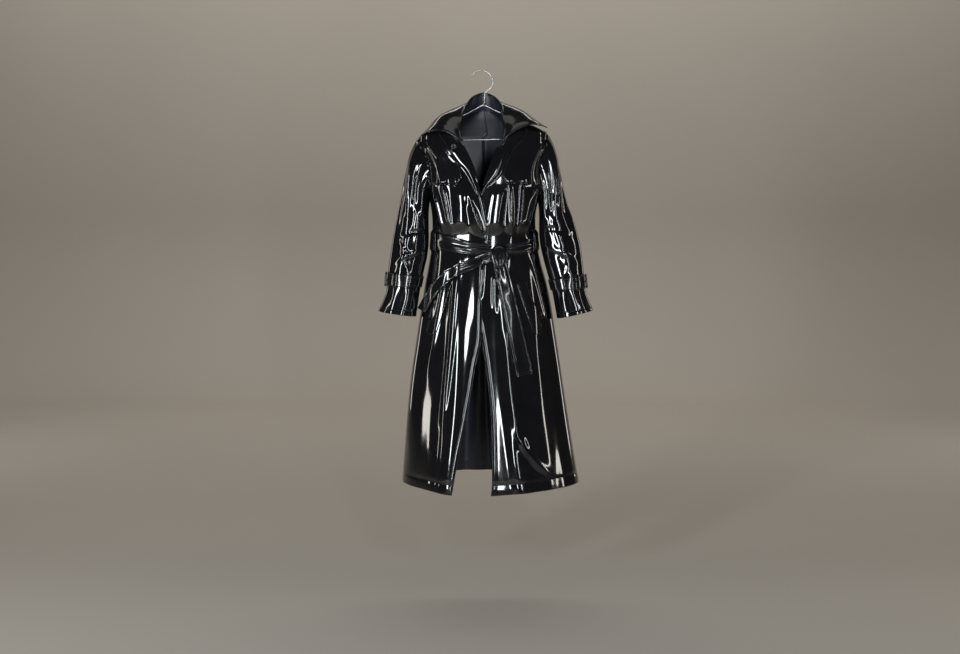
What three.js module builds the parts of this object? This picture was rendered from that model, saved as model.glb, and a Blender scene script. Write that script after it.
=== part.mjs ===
import * as THREE from 'three';

// A belted raincoat of glossy coated cloth, hanging on a wire hanger.
// Millimetres, +Z up. The coat's front faces -Y, and right and left are the wearer's, so the
// right half lies at -X. The origin is the top of the hook's inside, where a rail carries it.

// Cloth and seams
const clothWall = 1.5; // one layer
const doubleWall = 2.4; // two layers sewn together
const seamGap = 0.4; // between two pieces that meet at a seam
const armholeGap = 0.7; // between a sleeve's first ring and the armhole
const overlapLift = 5; // how far the right front stands over the left one
const overlapWidth = 95;
const rollRadius = 5; // of the folded edge of collar and lapels

// Places that the coat's cut is measured from
const middleX = 5;
const backNeckZ = -118;
const neckPointZ = -131;
const underarmZ = -400;
const hemZ = -1268;
const frontHemDrop = 15;
const armholeDip = THREE.MathUtils.degToRad(31); // how far the armhole cuts into front and back

// Belt
const beltZ = -521;
const beltWidth = 48;
const knotX = 49;
const knotZ = -566;
const knotHalfWidth = 27;
const knotHalfHeight = 37;
const knotThickness = 18;

// Hanger
const wireRadius = 1.5;
const hookRadius = 35; // to the middle of the wire
const hangerArmDrop = 5.2; // middle of the wire below the shoulder seams' outer face
const hangerBarDrop = 16; // bar below the arms' ends
const hangerReach = 182;

const materials = {
  vinyl: new THREE.MeshStandardMaterial({ color: 0x0b0b0f, roughness: 0.12, metalness: 0 }),
  trim: new THREE.MeshStandardMaterial({ color: 0x101014, roughness: 0.25, metalness: 0 }),
  wire: new THREE.MeshStandardMaterial({ color: 0xd8d8d6, roughness: 0.25, metalness: 1 }),
};

// Makes rows with named columns from a heading and lists of values.
function table(heading, lists) {
  const names = heading.split(' ');
  return lists.map((list) => Object.fromEntries(list.map((value, i) => [names[i], value])));
}

// Reads a column at a value of the table's first column, on curves that never overshoot a row.
function read(rows, column, at) {
  const key = Object.keys(rows[0])[0];
  const last = rows.length - 1;
  const sense = Math.sign(rows[last][key] - rows[0][key]);
  const slope = (k) => (rows[k + 1][column] - rows[k][column]) / (rows[k + 1][key] - rows[k][key]);
  const tangent = (k) => {
    if (k === 0) return slope(0);
    if (k === last) return slope(last - 1);
    const before = slope(k - 1);
    const after = slope(k);
    return before * after > 0 ? (2 * before * after) / (before + after) : 0;
  };
  let i = 0;
  while (i < last - 1 && (at - rows[i + 1][key]) * sense > 0) i += 1;
  const width = rows[i + 1][key] - rows[i][key];
  const s = (at - rows[i][key]) / width;
  if (s < 0) return rows[i][column] + slope(i) * s * width;
  if (s > 1) return rows[i + 1][column] + slope(i) * (s - 1) * width;
  const a = s * s * (3 - 2 * s);
  return rows[i][column] * (1 - a) + rows[i + 1][column] * a
    + width * (tangent(i) * s * (1 - s) ** 2 - tangent(i + 1) * s * s * (1 - s));
}

// Side edges of the coat seen from the front: the shoulder seam down to its tip, then the side.
const rightEdge = table('z x', [
  [-98, 5], [-150, -96], [-190, -173.6], [-197, -187], [-225, -188], [-260, -184], [-320, -174],
  [-400, -160], [-460, -154], [-520, -155], [-580, -163], [-650, -176], [-720, -188], [-800, -201],
  [-950, -222], [-1100, -237], [-1300, -252],
]);
const leftEdge = table('z x', [
  [-98, 5], [-150, 116.8], [-180, 181.3], [-187, 196.4], [-225, 199], [-260, 196], [-320, 187],
  [-400, 172], [-460, 166], [-520, 170], [-580, 181], [-650, 200], [-720, 215], [-800, 228],
  [-950, 251], [-1100, 274], [-1300, 310],
]);

// Depth of the coat before and behind the hanger, and how square its level sections are
const depths = table('z front back square', [
  [-110, 28, 49, 2.2], [-135, 42, 52, 2.2], [-160, 54, 58, 2.3], [-194, 66, 66, 2.5],
  [-250, 80, 74, 2.6], [-320, 92, 82, 2.5], [-400, 98, 87, 2.4], [-460, 95, 84, 2.4],
  [-520, 88, 78, 2.3], [-580, 98, 90, 2.2], [-650, 112, 106, 2.1], [-800, 134, 130, 2.05],
  [-950, 150, 147, 2], [-1100, 163, 159, 2], [-1300, 176, 171, 2],
]);

// Front edges: neckline down to the break point, lapped over at the belt, open below it
const rightFrontEdge = table('z x', [
  [-131, -57], [-140, -72], [-160, -81], [-190, -77], [-223, -63], [-252, -48], [-296, -28],
  [-367, -8], [-400, 4], [-450, 14], [-503, 23], [-560, 12], [-600, 3], [-700, -1], [-800, -2],
  [-890, -19], [-985, -35], [-1065, -51], [-1145, -67], [-1290, -91],
]);
const leftFrontEdge = table('z x', [
  [-131, 71], [-140, 84], [-160, 86], [-190, 81], [-215, 73], [-234, 52], [-272, 34],
  [-320, 16], [-367, 0], [-400, -20], [-450, -34], [-520, -40], [-620, -36], [-720, -18],
  [-800, -3], [-848, 5], [-925, 16], [-985, 23], [-1065, 29], [-1225, 31], [-1290, 27],
]);

// The coat's largest folds. Each runs from one X and Z to another, on the front or the back.
// Height is outwards, width is across, bow bends its line, and a run of 1 carries it off the hem.
const coatFolds = table('face x0 z0 x1 z1 height width bow run', [
  ['front', -152, -345, -112, -500, 8, 17, 3, 0],
  ['front', -122, -330, -92, -500, 6, 13, 0, 0],
  ['front', -72, -345, -66, -498, 9, 15, 0, 0],
  ['front', -42, -395, -8, -505, 6, 12, 2, 0],
  ['front', 60, -340, 34, -505, 8, 14, -3, 0],
  ['front', 92, -335, 84, -500, 6, 12, 2, 0],
  ['front', 128, -330, 118, -498, 6, 14, 0, 0],
  ['front', 174, -360, 132, -500, 8, 18, 0, 0],
  ['front', -78, -560, -114, -1290, 11, 26, 6, 1],
  ['front', -128, -560, -176, -1000, 7, 24, 0, 0],
  ['front', -30, -560, -44, -800, -5, 20, 0, 0],
  ['front', 72, -620, 128, -1290, 11, 28, -12, 1],
  ['front', 132, -560, 190, -1050, 7, 26, 0, 0],
  ['front', 170, -700, 236, -1290, -8, 30, 0, 1],
  ['front', -160, -900, -196, -1290, -7, 30, 0, 1],
  ['back', -100, -560, -150, -1290, 12, 30, 0, 1],
  ['back', -40, -570, -52, -1290, 9, 26, 0, 1],
  ['back', 36, -565, 62, -1290, 12, 30, 4, 1],
  ['back', 112, -560, 176, -1290, 10, 28, 0, 1],
  ['back', -120, -300, -96, -500, 7, 18, 0, 0],
  ['back', -30, -330, -24, -500, 7, 16, 0, 0],
  ['back', 44, -320, 40, -500, 7, 17, 0, 0],
  ['back', 128, -310, 104, -500, 7, 18, 0, 0],
]);

const sections = new Map();

// One level section of the coat: its middle, half width, depths and squareness.
function section(z) {
  if (!sections.has(z)) {
    const left = read(leftEdge, 'x', z);
    const right = read(rightEdge, 'x', z);
    sections.set(z, {
      middle: (left + right) / 2,
      half: (left - right) / 2,
      front: read(depths, 'front', z),
      back: read(depths, 'back', z),
      square: read(depths, 'square', z),
    });
  }
  return sections.get(z);
}

// A point of the plain section. A turn of 0 is the left side, a quarter the front, a half the
// right side and three quarters the back.
function ringPoint(turn, z) {
  const { middle, half, front, back, square } = section(z);
  const across = Math.cos(turn);
  const forward = Math.sin(turn);
  const reach = (Math.abs(across) ** square + Math.abs(forward) ** square) ** (-1 / square);
  const depth = forward > 0 ? front : back;
  return new THREE.Vector3(middle + half * across * reach, -depth * forward * reach, z);
}

function ringNormal(turn, z) {
  const step = 0.01;
  const along = ringPoint(turn + step, z).sub(ringPoint(turn - step, z));
  return new THREE.Vector3(0, 0, 1).cross(along).normalize();
}

// The turn at which the front or back has a given X.
function turnAt(x, z, face = 'front') {
  const { middle, half, square } = section(z);
  const across = THREE.MathUtils.clamp((x - middle) / half, -0.9999, 0.9999);
  const forward = (1 - Math.abs(across) ** square) ** (1 / square);
  const turn = Math.atan2(forward, across);
  return face === 'front' ? turn : 2 * Math.PI - turn;
}

// An eased step from 0 to 1 as a value goes from one bound to the other, in either sense.
function smooth(from, to, value) {
  return THREE.MathUtils.smoothstep((value - from) / (to - from), 0, 1);
}

function foldHeight(turn, z) {
  const here = ringPoint(turn, z);
  let sum = 0;
  for (const fold of coatFolds) {
    const part = (fold.z0 - z) / (fold.z0 - fold.z1);
    if (part <= 0 || part >= 1) continue;
    const x = THREE.MathUtils.lerp(fold.x0, fold.x1, part) + fold.bow * Math.sin(Math.PI * part);
    const crest = ringPoint(turnAt(x, z, fold.face), z);
    const ends = smooth(0, 0.3, part) * (fold.run ? 1 : 1 - smooth(0.7, 1, part));
    sum += fold.height * ends * Math.exp(-here.distanceToSquared(crest) / fold.width ** 2);
  }
  return sum;
}

// A point of the coat's outer face with its folds, moved out by some millimetres.
function coatPoint(turn, z, out = 0) {
  return ringPoint(turn, z).addScaledVector(ringNormal(turn, z), foldHeight(turn, z) + out);
}

// How far the right front stands out over the left one, at an X on the front.
function overlapAt(x, z) {
  const fromEdge = read(rightFrontEdge, 'x', z) - x;
  const ends = fromEdge > 0 ? smooth(overlapWidth, 20, fromEdge) : smooth(-110, -60, fromEdge);
  return overlapLift * smooth(-340, -400, z) * ends;
}

function rightFrontPoint(turn, z, out = 0) {
  return coatPoint(turn, z, out + overlapAt(ringPoint(turn, z).x, z));
}

// The direction out of a surface at u and v.
function outward(surface, u, v, flip) {
  const step = 0.002;
  const alongU = surface(u + step, v).sub(surface(u - step, v));
  const alongV = surface(u, v + step).sub(surface(u, v - step));
  return alongU.cross(alongV).normalize().multiplyScalar(flip ? -1 : 1);
}

// Joins an outer and an inner grid of points into one closed wall. With wrap, it is a tube.
function closedWall(outer, inner, wrap = false) {
  const rows = outer.length;
  const columns = outer[0].length;
  const points = [...outer.flat(), ...inner.flat()];
  const faces = [];
  const at = (side, i, j) => side * rows * columns + i * columns + (j % columns);
  const quad = (a, b, c, d) => {
    const short = points[a].distanceToSquared(points[c]) <= points[b].distanceToSquared(points[d]);
    faces.push(...(short ? [a, b, c, a, c, d] : [a, b, d, b, c, d]));
  };
  const spans = wrap ? columns : columns - 1;
  for (let i = 0; i < rows - 1; i += 1) {
    for (let j = 0; j < spans; j += 1) {
      quad(at(0, i, j), at(0, i, j + 1), at(0, i + 1, j + 1), at(0, i + 1, j));
      quad(at(1, i, j), at(1, i + 1, j), at(1, i + 1, j + 1), at(1, i, j + 1));
    }
  }
  for (let j = 0; j < spans; j += 1) {
    quad(at(0, 0, j), at(1, 0, j), at(1, 0, j + 1), at(0, 0, j + 1));
    quad(at(0, rows - 1, j), at(0, rows - 1, j + 1), at(1, rows - 1, j + 1), at(1, rows - 1, j));
  }
  for (let i = 0; i < rows - 1 && !wrap; i += 1) {
    quad(at(0, i, 0), at(0, i + 1, 0), at(1, i + 1, 0), at(1, i, 0));
    quad(at(0, i, spans), at(1, i, spans), at(1, i + 1, spans), at(0, i + 1, spans));
  }
  let volume = 0;
  for (let k = 0; k < faces.length; k += 3) {
    volume += points[faces[k]].dot(points[faces[k + 1]].clone().cross(points[faces[k + 2]]));
  }
  if (volume < 0) faces.reverse();
  const geometry = new THREE.BufferGeometry().setFromPoints(points);
  geometry.setIndex(faces);
  return geometry;
}

// A wall over a surface. Its inner face lies lift above the surface, which is negative for cloth
// whose outer face is the surface. The first row may take its outward directions from a seam.
function wallOver(surface, {
  rows, columns, lift = -clothWall, wall = clothWall, wrap, flip, seam, columnAt,
}) {
  const outer = [];
  const inner = [];
  for (let i = 0; i < rows; i += 1) {
    outer.push([]);
    inner.push([]);
    for (let j = 0; j < columns; j += 1) {
      const v = i / (rows - 1);
      const u = columnAt ? columnAt(j, v) : j / (wrap ? columns : columns - 1);
      const out = i === 0 && seam ? seam(u) : outward(surface, u, v, flip);
      inner[i].push(surface(u, v).addScaledVector(out, lift));
      outer[i].push(surface(u, v).addScaledVector(out, lift + wall));
    }
  }
  return closedWall(outer, inner, wrap);
}

const coat = new THREE.Group();

function addPiece(name, geometry, material = materials.vinyl, group = coat) {
  const mesh = new THREE.Mesh(geometry, material);
  mesh.name = name;
  group.add(mesh);
  return mesh;
}

// The two halves differ in their sign along X, their edges and the turn of their side seams.
const halves = {
  right: { sign: -1, sideTurn: Math.PI, edge: rightFrontEdge, tipZ: -197, point: rightFrontPoint },
  left: { sign: 1, sideTurn: 0, edge: leftFrontEdge, tipZ: -187, point: coatPoint },
};

// How far the armhole cuts in from the side seam, as a turn.
function armholeCut(half, z) {
  const part = (half.tipZ - z) / (half.tipZ - underarmZ);
  return part <= 0 || part >= 1 ? 0 : armholeDip * Math.sin(Math.PI * part) ** 0.7;
}

// A front surface between an edge, given by its X at each Z, and the side seam or armhole.
function frontSurface(half, edgeX, levelOf, inset = 0) {
  return (u, v) => {
    const toSide = half.sign < 0 ? u : 1 - u;
    const z = levelOf(toSide, v);
    const side = half.sideTurn + half.sign * (armholeCut(half, z) + inset / section(z).half);
    const turn = THREE.MathUtils.lerp(turnAt(edgeX(z), z), side, toSide);
    return half.point(turn, z).add(new THREE.Vector3(0, -seamGap / 2, 0));
  };
}

// Rows of points down the panels: shoulder, armhole, waist and skirt. Front, back and sleeve
// share those at the armhole, so that their seams lie side by side.
const rowsOf = { shoulder: 3, armhole: 8, waist: 5, skirt: 9 };
const panelRows = rowsOf.shoulder + rowsOf.armhole + rowsOf.waist + rowsOf.skirt;
const frontColumns = 14;
const backColumns = 25; // over both halves of the back, which share the middle one
const waistEndZ = -600;

// The height of a panel's row at the side, from 0 at the shoulder seam's top to 1 at the hem
function sideLevel(half, v) {
  const stops = [
    [rowsOf.shoulder, neckPointZ, half.tipZ], [rowsOf.armhole, half.tipZ, underarmZ],
    [rowsOf.waist, underarmZ, waistEndZ], [rowsOf.skirt, waistEndZ, hemZ],
  ];
  let row = v * panelRows;
  let i = 0;
  while (i < stops.length - 1 && row > stops[i][0]) {
    row -= stops[i][0];
    i += 1;
  }
  const [rows, top, bottom] = stops[i];
  return THREE.MathUtils.lerp(top, bottom, row / rows);
}

function frontPanel(half) {
  const drop = (toSide, v) => frontHemDrop * (1 - toSide) ** 2 * smooth(0.6, 1, v);
  const levelOf = (toSide, v) => sideLevel(half, v) - drop(toSide, v);
  return frontSurface(half, (z) => read(half.edge, 'x', z), levelOf);
}

function backPanel(u, v) {
  const g = 2 * u - 1;
  const rise = (backNeckZ - neckPointZ) * (1 - g * g) * (1 - smooth(0, 0.2, v));
  const z = THREE.MathUtils.lerp(sideLevel(halves.right, v), sideLevel(halves.left, v), u) + rise;
  const cut = armholeCut(g < 0 ? halves.right : halves.left, z);
  return coatPoint(1.5 * Math.PI + g * (Math.PI / 2 - cut), z).add(new THREE.Vector3(0, seamGap / 2, 0));
}

// The back is cut in two, with a seam down its middle.
function backHalf({ sign }) {
  return (u, v) => {
    const g = sign < 0 ? u - 1 : u;
    const aside = ((sign * seamGap) / 2) * (1 - Math.abs(g));
    return backPanel((g + 1) / 2, v).add(new THREE.Vector3(aside, 0, 0));
  };
}

for (const [name, half] of Object.entries(halves)) {
  const rows = panelRows + 1;
  addPiece(`back_${name}`, wallOver(backHalf(half), { rows, columns: (backColumns + 1) / 2 }));
  addPiece(`front_${name}`, wallOver(frontPanel(half), { rows, columns: frontColumns }));
}

// Storm flaps, sewn into shoulder seam and armhole, with a loose front and lower edge. They lie
// on the fronts' own points, from one of their rows and columns to another.
const flap = { firstRow: 2, lastRow: 9, columns: 9, sideInset: 0.3, lift: 0.8 };

for (const [name, half] of Object.entries(halves)) {
  const spans = frontColumns - 1;
  const rows = flap.lastRow - flap.firstRow;
  const side = (spans - flap.sideInset) / spans;
  const inner = (frontColumns - flap.columns) / spans;
  const u = half.sign < 0 ? [inner, side] : [1 - side, 1 - inner];
  const surface = patch(frontPanel(half), ...u, flap.firstRow / panelRows, flap.lastRow / panelRows);
  const columnAt = (j) => {
    const toSide = half.sign < 0 ? j : flap.columns - 1 - j;
    const column = Math.min(toSide / spans, side - inner) / (side - inner);
    return half.sign < 0 ? column : 1 - column;
  };
  addPiece(`storm_flap_${name}`, wallOver(surface, {
    rows: rows + 1, columns: flap.columns, lift: flap.lift, columnAt,
  }));
}

// Sleeves: sections from the armhole to the cuff, each by its inner and outer edge as seen from
// the front, its half depth and the Y of its middle.
const sleeveSections = {
  right: table('at innerX innerZ outerX outerZ depth middleY', [
    [0, -160, -401, -187, -198, 50, 0], [0.07, -162, -412, -208, -209, 51, -1],
    [0.16, -163, -428, -222, -243, 52, -3], [0.26, -163, -446, -233, -292, 52, -6],
    [0.36, -163, -470, -244, -348, 51, -9], [0.46, -163, -497, -255, -406, 50, -12],
    [0.56, -164, -530, -267, -468, 49, -15], [0.66, -168, -565, -278, -530, 48, -18],
    [0.76, -176, -600, -286, -585, 46, -21], [0.84, -185, -640, -291, -632, 45, -24],
    [0.9, -191, -672, -294, -668, 46, -26], [1, -203, -750, -320, -733, 50, -30],
  ]),
  left: table('at innerX innerZ outerX outerZ depth middleY', [
    [0, 172, -401, 196, -188, 50, 0], [0.07, 174, -412, 211, -197, 51, -1],
    [0.16, 175, -428, 226, -232, 52, -3], [0.26, 175, -446, 238, -290, 52, -6],
    [0.36, 175, -470, 250, -350, 51, -9], [0.46, 176, -497, 264, -408, 50, -12],
    [0.56, 180, -532, 286, -466, 49, -15], [0.66, 189, -572, 304, -532, 48, -18],
    [0.76, 200, -612, 312, -592, 46, -21], [0.84, 211, -650, 316, -638, 45, -24],
    [0.9, 218, -682, 320, -674, 46, -26], [1, 230, -756, 343, -730, 50, -30],
  ]),
};

// The sleeves' largest folds, in degrees round the sleeve from its outer edge over the front
const sleeveFolds = {
  right: table('turn0 at0 turn1 at1 height width', [
    [35, 0.03, 62, 0.5, 6, 12], [75, 0.04, 88, 0.42, -6, 13], [105, 0.05, 120, 0.4, 6, 12],
    [10, 0.2, 40, 0.7, -5, 14], [150, 0.45, 45, 0.62, -6, 13], [150, 0.6, 30, 0.78, 5, 13],
    [80, 0.5, 70, 0.86, 5, 14], [250, 0.08, 285, 0.5, 6, 14], [220, 0.5, 320, 0.66, -6, 14],
    [230, 0.62, 310, 0.78, 5, 13],
  ]),
  left: table('turn0 at0 turn1 at1 height width', [
    [30, 0.04, 58, 0.5, 6, 12], [68, 0.04, 92, 0.46, -6, 13], [100, 0.04, 128, 0.42, 6, 12],
    [15, 0.22, 50, 0.66, -5, 14], [152, 0.42, 50, 0.6, -6, 13], [148, 0.56, 36, 0.76, 5, 13],
    [95, 0.5, 72, 0.86, 5, 13], [255, 0.06, 280, 0.48, 6, 14], [215, 0.5, 325, 0.62, -6, 14],
    [235, 0.6, 305, 0.8, 5, 13],
  ]),
};
const sleeveColumns = 2 * rowsOf.armhole;
const armholeBlend = 0.24; // share of the sleeve over which the armhole's shape turns to an oval

// The armhole seam, from the shoulder tip over the front to the underarm and up the back.
function armholeSeam(half, turn) {
  const part = (1 - Math.cos(turn)) / 2;
  const z = THREE.MathUtils.lerp(half.tipZ, underarmZ, part);
  const cut = armholeCut(half, z) * (Math.sin(turn) < 0 ? -1 : 1);
  const coatTurn = half.sideTurn + half.sign * cut;
  const underarm = smooth(0.5, 1, part);
  const out = ringNormal(coatTurn, z).lerp(new THREE.Vector3(0, 0, -1), underarm).normalize();
  return { point: half.point(coatTurn, z), out };
}

// The place of a sleeve's column: on a row of the panels at the seam, and evenly round below it.
function sleeveColumn(j, v) {
  const part = Math.min(j, sleeveColumns - j) / rowsOf.armhole;
  const angle = Math.acos(1 - 2 * part) / (2 * Math.PI);
  const atSeam = j <= rowsOf.armhole ? angle : 1 - angle;
  return THREE.MathUtils.lerp(atSeam, j / sleeveColumns, smooth(0, armholeBlend, v));
}

function sleeveRing(name, turn, at) {
  const rows = sleeveSections[name];
  const get = (column) => read(rows, column, at);
  const inner = new THREE.Vector3(get('innerX'), get('middleY'), get('innerZ'));
  const outer = new THREE.Vector3(get('outerX'), get('middleY'), get('outerZ'));
  const oval = inner.clone().add(outer).multiplyScalar(0.5);
  oval.addScaledVector(outer.sub(inner), Math.cos(turn) / 2);
  oval.y -= get('depth') * Math.sin(turn);
  const blend = smooth(0, armholeBlend, at);
  if (blend === 1) return oval;
  const half = halves[name];
  const seam = armholeSeam(half, turn).point;
  seam.x += half.sign * armholeGap;
  return seam.lerp(oval, blend);
}

function sleeveFoldHeight(name, turn, at) {
  const here = sleeveRing(name, turn, at);
  let sum = 0;
  for (const fold of sleeveFolds[name]) {
    const part = (at - fold.at0) / (fold.at1 - fold.at0);
    if (part <= 0 || part >= 1) continue;
    const crest = THREE.MathUtils.degToRad(THREE.MathUtils.lerp(fold.turn0, fold.turn1, part));
    const gap = here.distanceToSquared(sleeveRing(name, crest, at));
    sum += fold.height * Math.sin(Math.PI * part) * Math.exp(-gap / fold.width ** 2);
  }
  return sum;
}

function sleeveSurface(name) {
  const flip = halves[name].sign < 0;
  const plain = (u, v) => sleeveRing(name, 2 * Math.PI * u, v);
  return (u, v) => {
    const height = sleeveFoldHeight(name, 2 * Math.PI * u, v);
    return plain(u, v).addScaledVector(outward(plain, u, v, flip), height);
  };
}

// Part of a surface, between two values of u and two of v
function patch(surface, u0, u1, v0, v1) {
  return (u, v) => surface(THREE.MathUtils.lerp(u0, u1, u), THREE.MathUtils.lerp(v0, v1, v));
}

const strap = { from: 0.815, to: 0.878, lift: 1.6, wall: doubleWall };
const strapLoops = { turns: [62, 108, 252], halfTurn: 6, over: 0.012, wall: 1.4 };

for (const [name, half] of Object.entries(halves)) {
  const surface = sleeveSurface(name);
  const flip = half.sign < 0;
  const seam = (u) => armholeSeam(half, 2 * Math.PI * u).out;
  addPiece(`sleeve_${name}`, wallOver(surface, {
    rows: 22, columns: sleeveColumns, wrap: true, flip, seam, columnAt: sleeveColumn,
  }));

  // The cuff's strap goes all round, through three loops
  const band = patch(surface, 0, 1, strap.from, strap.to);
  addPiece(`cuff_strap_${name}`, wallOver(band, {
    rows: 2, columns: 20, wrap: true, flip, lift: strap.lift, wall: strap.wall,
  }));
  strapLoops.turns.forEach((turn, i) => {
    const u0 = (turn - strapLoops.halfTurn) / 360;
    const u1 = (turn + strapLoops.halfTurn) / 360;
    const strip = patch(surface, u0, u1, strap.from - strapLoops.over, strap.to + strapLoops.over);
    addPiece(`cuff_loop_${name}_${i + 1}`, bridge(strip, {
      low: 1.2, high: strap.lift + strap.wall + 2.2, wall: strapLoops.wall, rows: 6, columns: 2, flip,
    }));
  });
}

// A narrow strip that lies on a surface at both ends and stands over what it holds between them.
function bridge(surface, { low, high, wall, rows, columns, flip }) {
  const lifted = (u, v) => {
    const rise = smooth(0, 0.14, v) * (1 - smooth(0.86, 1, v));
    return surface(u, v).addScaledVector(outward(surface, u, v, flip), low + (high - low) * rise);
  };
  return wallOver(lifted, { rows, columns, lift: 0, wall, flip });
}

// The cuff's buckle: a rounded frame standing on the strap at the sleeve's outer edge.
const buckle = {
  turn: 8, halfWidth: 15, halfHeight: 23, bar: 5, thickness: 4, lift: { right: 3.3, left: 3.8 },
};

for (const [name, half] of Object.entries(halves)) {
  const surface = sleeveSurface(name);
  const u = buckle.turn / 360;
  const v = (strap.from + strap.to) / 2;
  const out = outward(surface, u, v, half.sign < 0);
  const along = surface(u, v + 0.01).sub(surface(u, v - 0.01)).normalize();
  const across = new THREE.Vector3().crossVectors(along, out).normalize();
  const frame = roundedFrame(buckle.halfWidth, buckle.halfHeight, buckle.bar);
  const geometry = new THREE.ExtrudeGeometry(frame, {
    depth: buckle.thickness, bevelEnabled: false, curveSegments: 3,
  });
  const place = new THREE.Matrix4().makeBasis(across, new THREE.Vector3().crossVectors(out, across), out);
  place.setPosition(surface(u, v).addScaledVector(out, buckle.lift[name]));
  geometry.applyMatrix4(place);
  addPiece(`cuff_buckle_${name}`, geometry, materials.trim);
}

function roundedFrame(halfWidth, halfHeight, bar) {
  const outline = roundedRectangle(new THREE.Shape(), halfWidth, halfHeight, bar);
  outline.holes.push(roundedRectangle(new THREE.Path(), halfWidth - bar, halfHeight - bar, bar / 2));
  return outline;
}

function roundedRectangle(path, halfWidth, halfHeight, corner) {
  const x = halfWidth - corner;
  const y = halfHeight - corner;
  path.absarc(x, y, corner, 0, Math.PI / 2);
  path.absarc(-x, y, corner, Math.PI / 2, Math.PI);
  path.absarc(-x, -y, corner, Math.PI, 1.5 * Math.PI);
  path.absarc(x, -y, corner, 1.5 * Math.PI, 2 * Math.PI);
  path.closePath();
  return path;
}

// Collar: the roll line and the leaf's outer edge, from the right gorge round the back of the
// neck to the left gorge. Puff lifts the leaf's middle, forward brings it before the shoulder.
const collar = table('at rollX rollY rollZ edgeX edgeY edgeZ puff forward', [
  [-1, -61, -78, -218, -184, -38, -196, 44, 16], [-0.85, -68, -59, -188, -180, -14, -188, 48, 24],
  [-0.7, -64, -36, -146, -168, 22, -176, 52, 20], [-0.5, -49, -1, -110, -130, 64, -162, 42, 8],
  [-0.25, -28, 40, -78, -66, 88, -156, 14, 2], [0, 5, 54, -65, 5, 96, -152, 4, 0],
  [0.25, 36, 42, -76, 78, 88, -154, 14, 2], [0.5, 57, 0, -104, 142, 62, -156, 40, 8],
  [0.7, 65, -36, -142, 184, 24, -164, 50, 24], [0.85, 70, -60, -184, 194, -12, -168, 50, 30],
  [1, 64, -80, -214, 199, -38, -172, 46, 18],
]);

const collarVector = (prefix, at) => new THREE.Vector3(
  read(collar, `${prefix}X`, at), read(collar, `${prefix}Y`, at), read(collar, `${prefix}Z`, at),
);

// At the roll line: face points out of the neck, and over points across the fold.
function rollFrame(at) {
  const point = collarVector('roll', at);
  const level = Math.min(point.z, -122);
  const { middle, half, front, back } = section(level);
  const depth = point.y < 0 ? front : back;
  const face = ringNormal(Math.atan2(-point.y / depth, (point.x - middle) / half), level);
  const along = collarVector('roll', at + 0.01).sub(collarVector('roll', at - 0.01)).normalize();
  return { point, face, over: along.cross(face).normalize() };
}

const rollShare = 0.4; // share of a leaf's rows that the roll itself takes
const rollStart = THREE.MathUtils.degToRad(-105);

// A point of a half round fold about a line.
function rollPoint({ point, face, over }, part) {
  const angle = THREE.MathUtils.lerp(rollStart, Math.PI / 2, part);
  return point.clone().addScaledVector(over, rollRadius * Math.cos(angle))
    .addScaledVector(face, rollRadius * Math.sin(angle));
}

function collarLeaf(u, v) {
  const at = 2 * u - 1;
  const frame = rollFrame(at);
  if (v < rollShare) return rollPoint(frame, v / rollShare);
  const t = (v - rollShare) / (1 - rollShare);
  const start = rollPoint(frame, 1);
  const end = collarVector('edge', at);
  const middle = start.clone().add(end).multiplyScalar(0.5);
  middle.z += read(collar, 'puff', at);
  middle.addScaledVector(frame.face, read(collar, 'forward', at));
  return start.multiplyScalar((1 - t) ** 2).addScaledVector(middle, 2 * t * (1 - t))
    .addScaledVector(end, t * t);
}

addPiece('collar_leaf', wallOver(collarLeaf, {
  rows: 12, columns: 23, lift: -doubleWall, wall: doubleWall,
}));

// The stand joins the neckline to the roll. Its columns stand on the back's own columns and on
// the fronts' rows down to the shoulder tip's height, where its ends taper into the fold.
const standEnd = 0.86;
const neckPoint = 0.55; // where the neckline passes the shoulder seam
const standTopDrop = 1.5; // below the middle of the roll
const standColumns = backColumns + 2 * rowsOf.shoulder;

function neckline(at) {
  const onEdge = (surface, u, v, du, dv) => {
    const point = surface(u, v);
    const away = point.clone().sub(surface(u + du, v + dv)).normalize();
    return { point: point.addScaledVector(away, 2 * seamGap), out: outward(surface, u, v) };
  };
  const step = 0.01;
  if (Math.abs(at) < neckPoint - 0.001) return onEdge(backPanel, (at / neckPoint + 1) / 2, 0, 0, step);
  const half = at < 0 ? halves.right : halves.left;
  const part = (Math.abs(at) - neckPoint) / (standEnd - neckPoint);
  const v = (part * rowsOf.shoulder) / panelRows;
  return onEdge(frontPanel(half), at < 0 ? 0 : 1, v, -half.sign * step, 0);
}

function standPlace(j) {
  const fromMiddle = Math.abs(j - (standColumns - 1) / 2);
  const backHalf = (backColumns - 1) / 2;
  const beyond = Math.max(0, fromMiddle - backHalf);
  const at = neckPoint * Math.min(1, fromMiddle / backHalf)
    + ((standEnd - neckPoint) * beyond) / rowsOf.shoulder;
  return (Math.sign(j - (standColumns - 1) / 2) * at) / standEnd / 2 + 0.5;
}

function standSurface(u, v) {
  const { point, face, over } = rollFrame(standEnd * (2 * u - 1));
  const top = point.addScaledVector(face, clothWall / 2).addScaledVector(over, -standTopDrop);
  return neckline(standEnd * (2 * u - 1)).point.lerp(top, v);
}

addPiece('collar_stand', wallOver(standSurface, {
  rows: 3, columns: standColumns, columnAt: standPlace, flip: true,
  seam: (u) => neckline(standEnd * (2 * u - 1)).out,
}));

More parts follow.
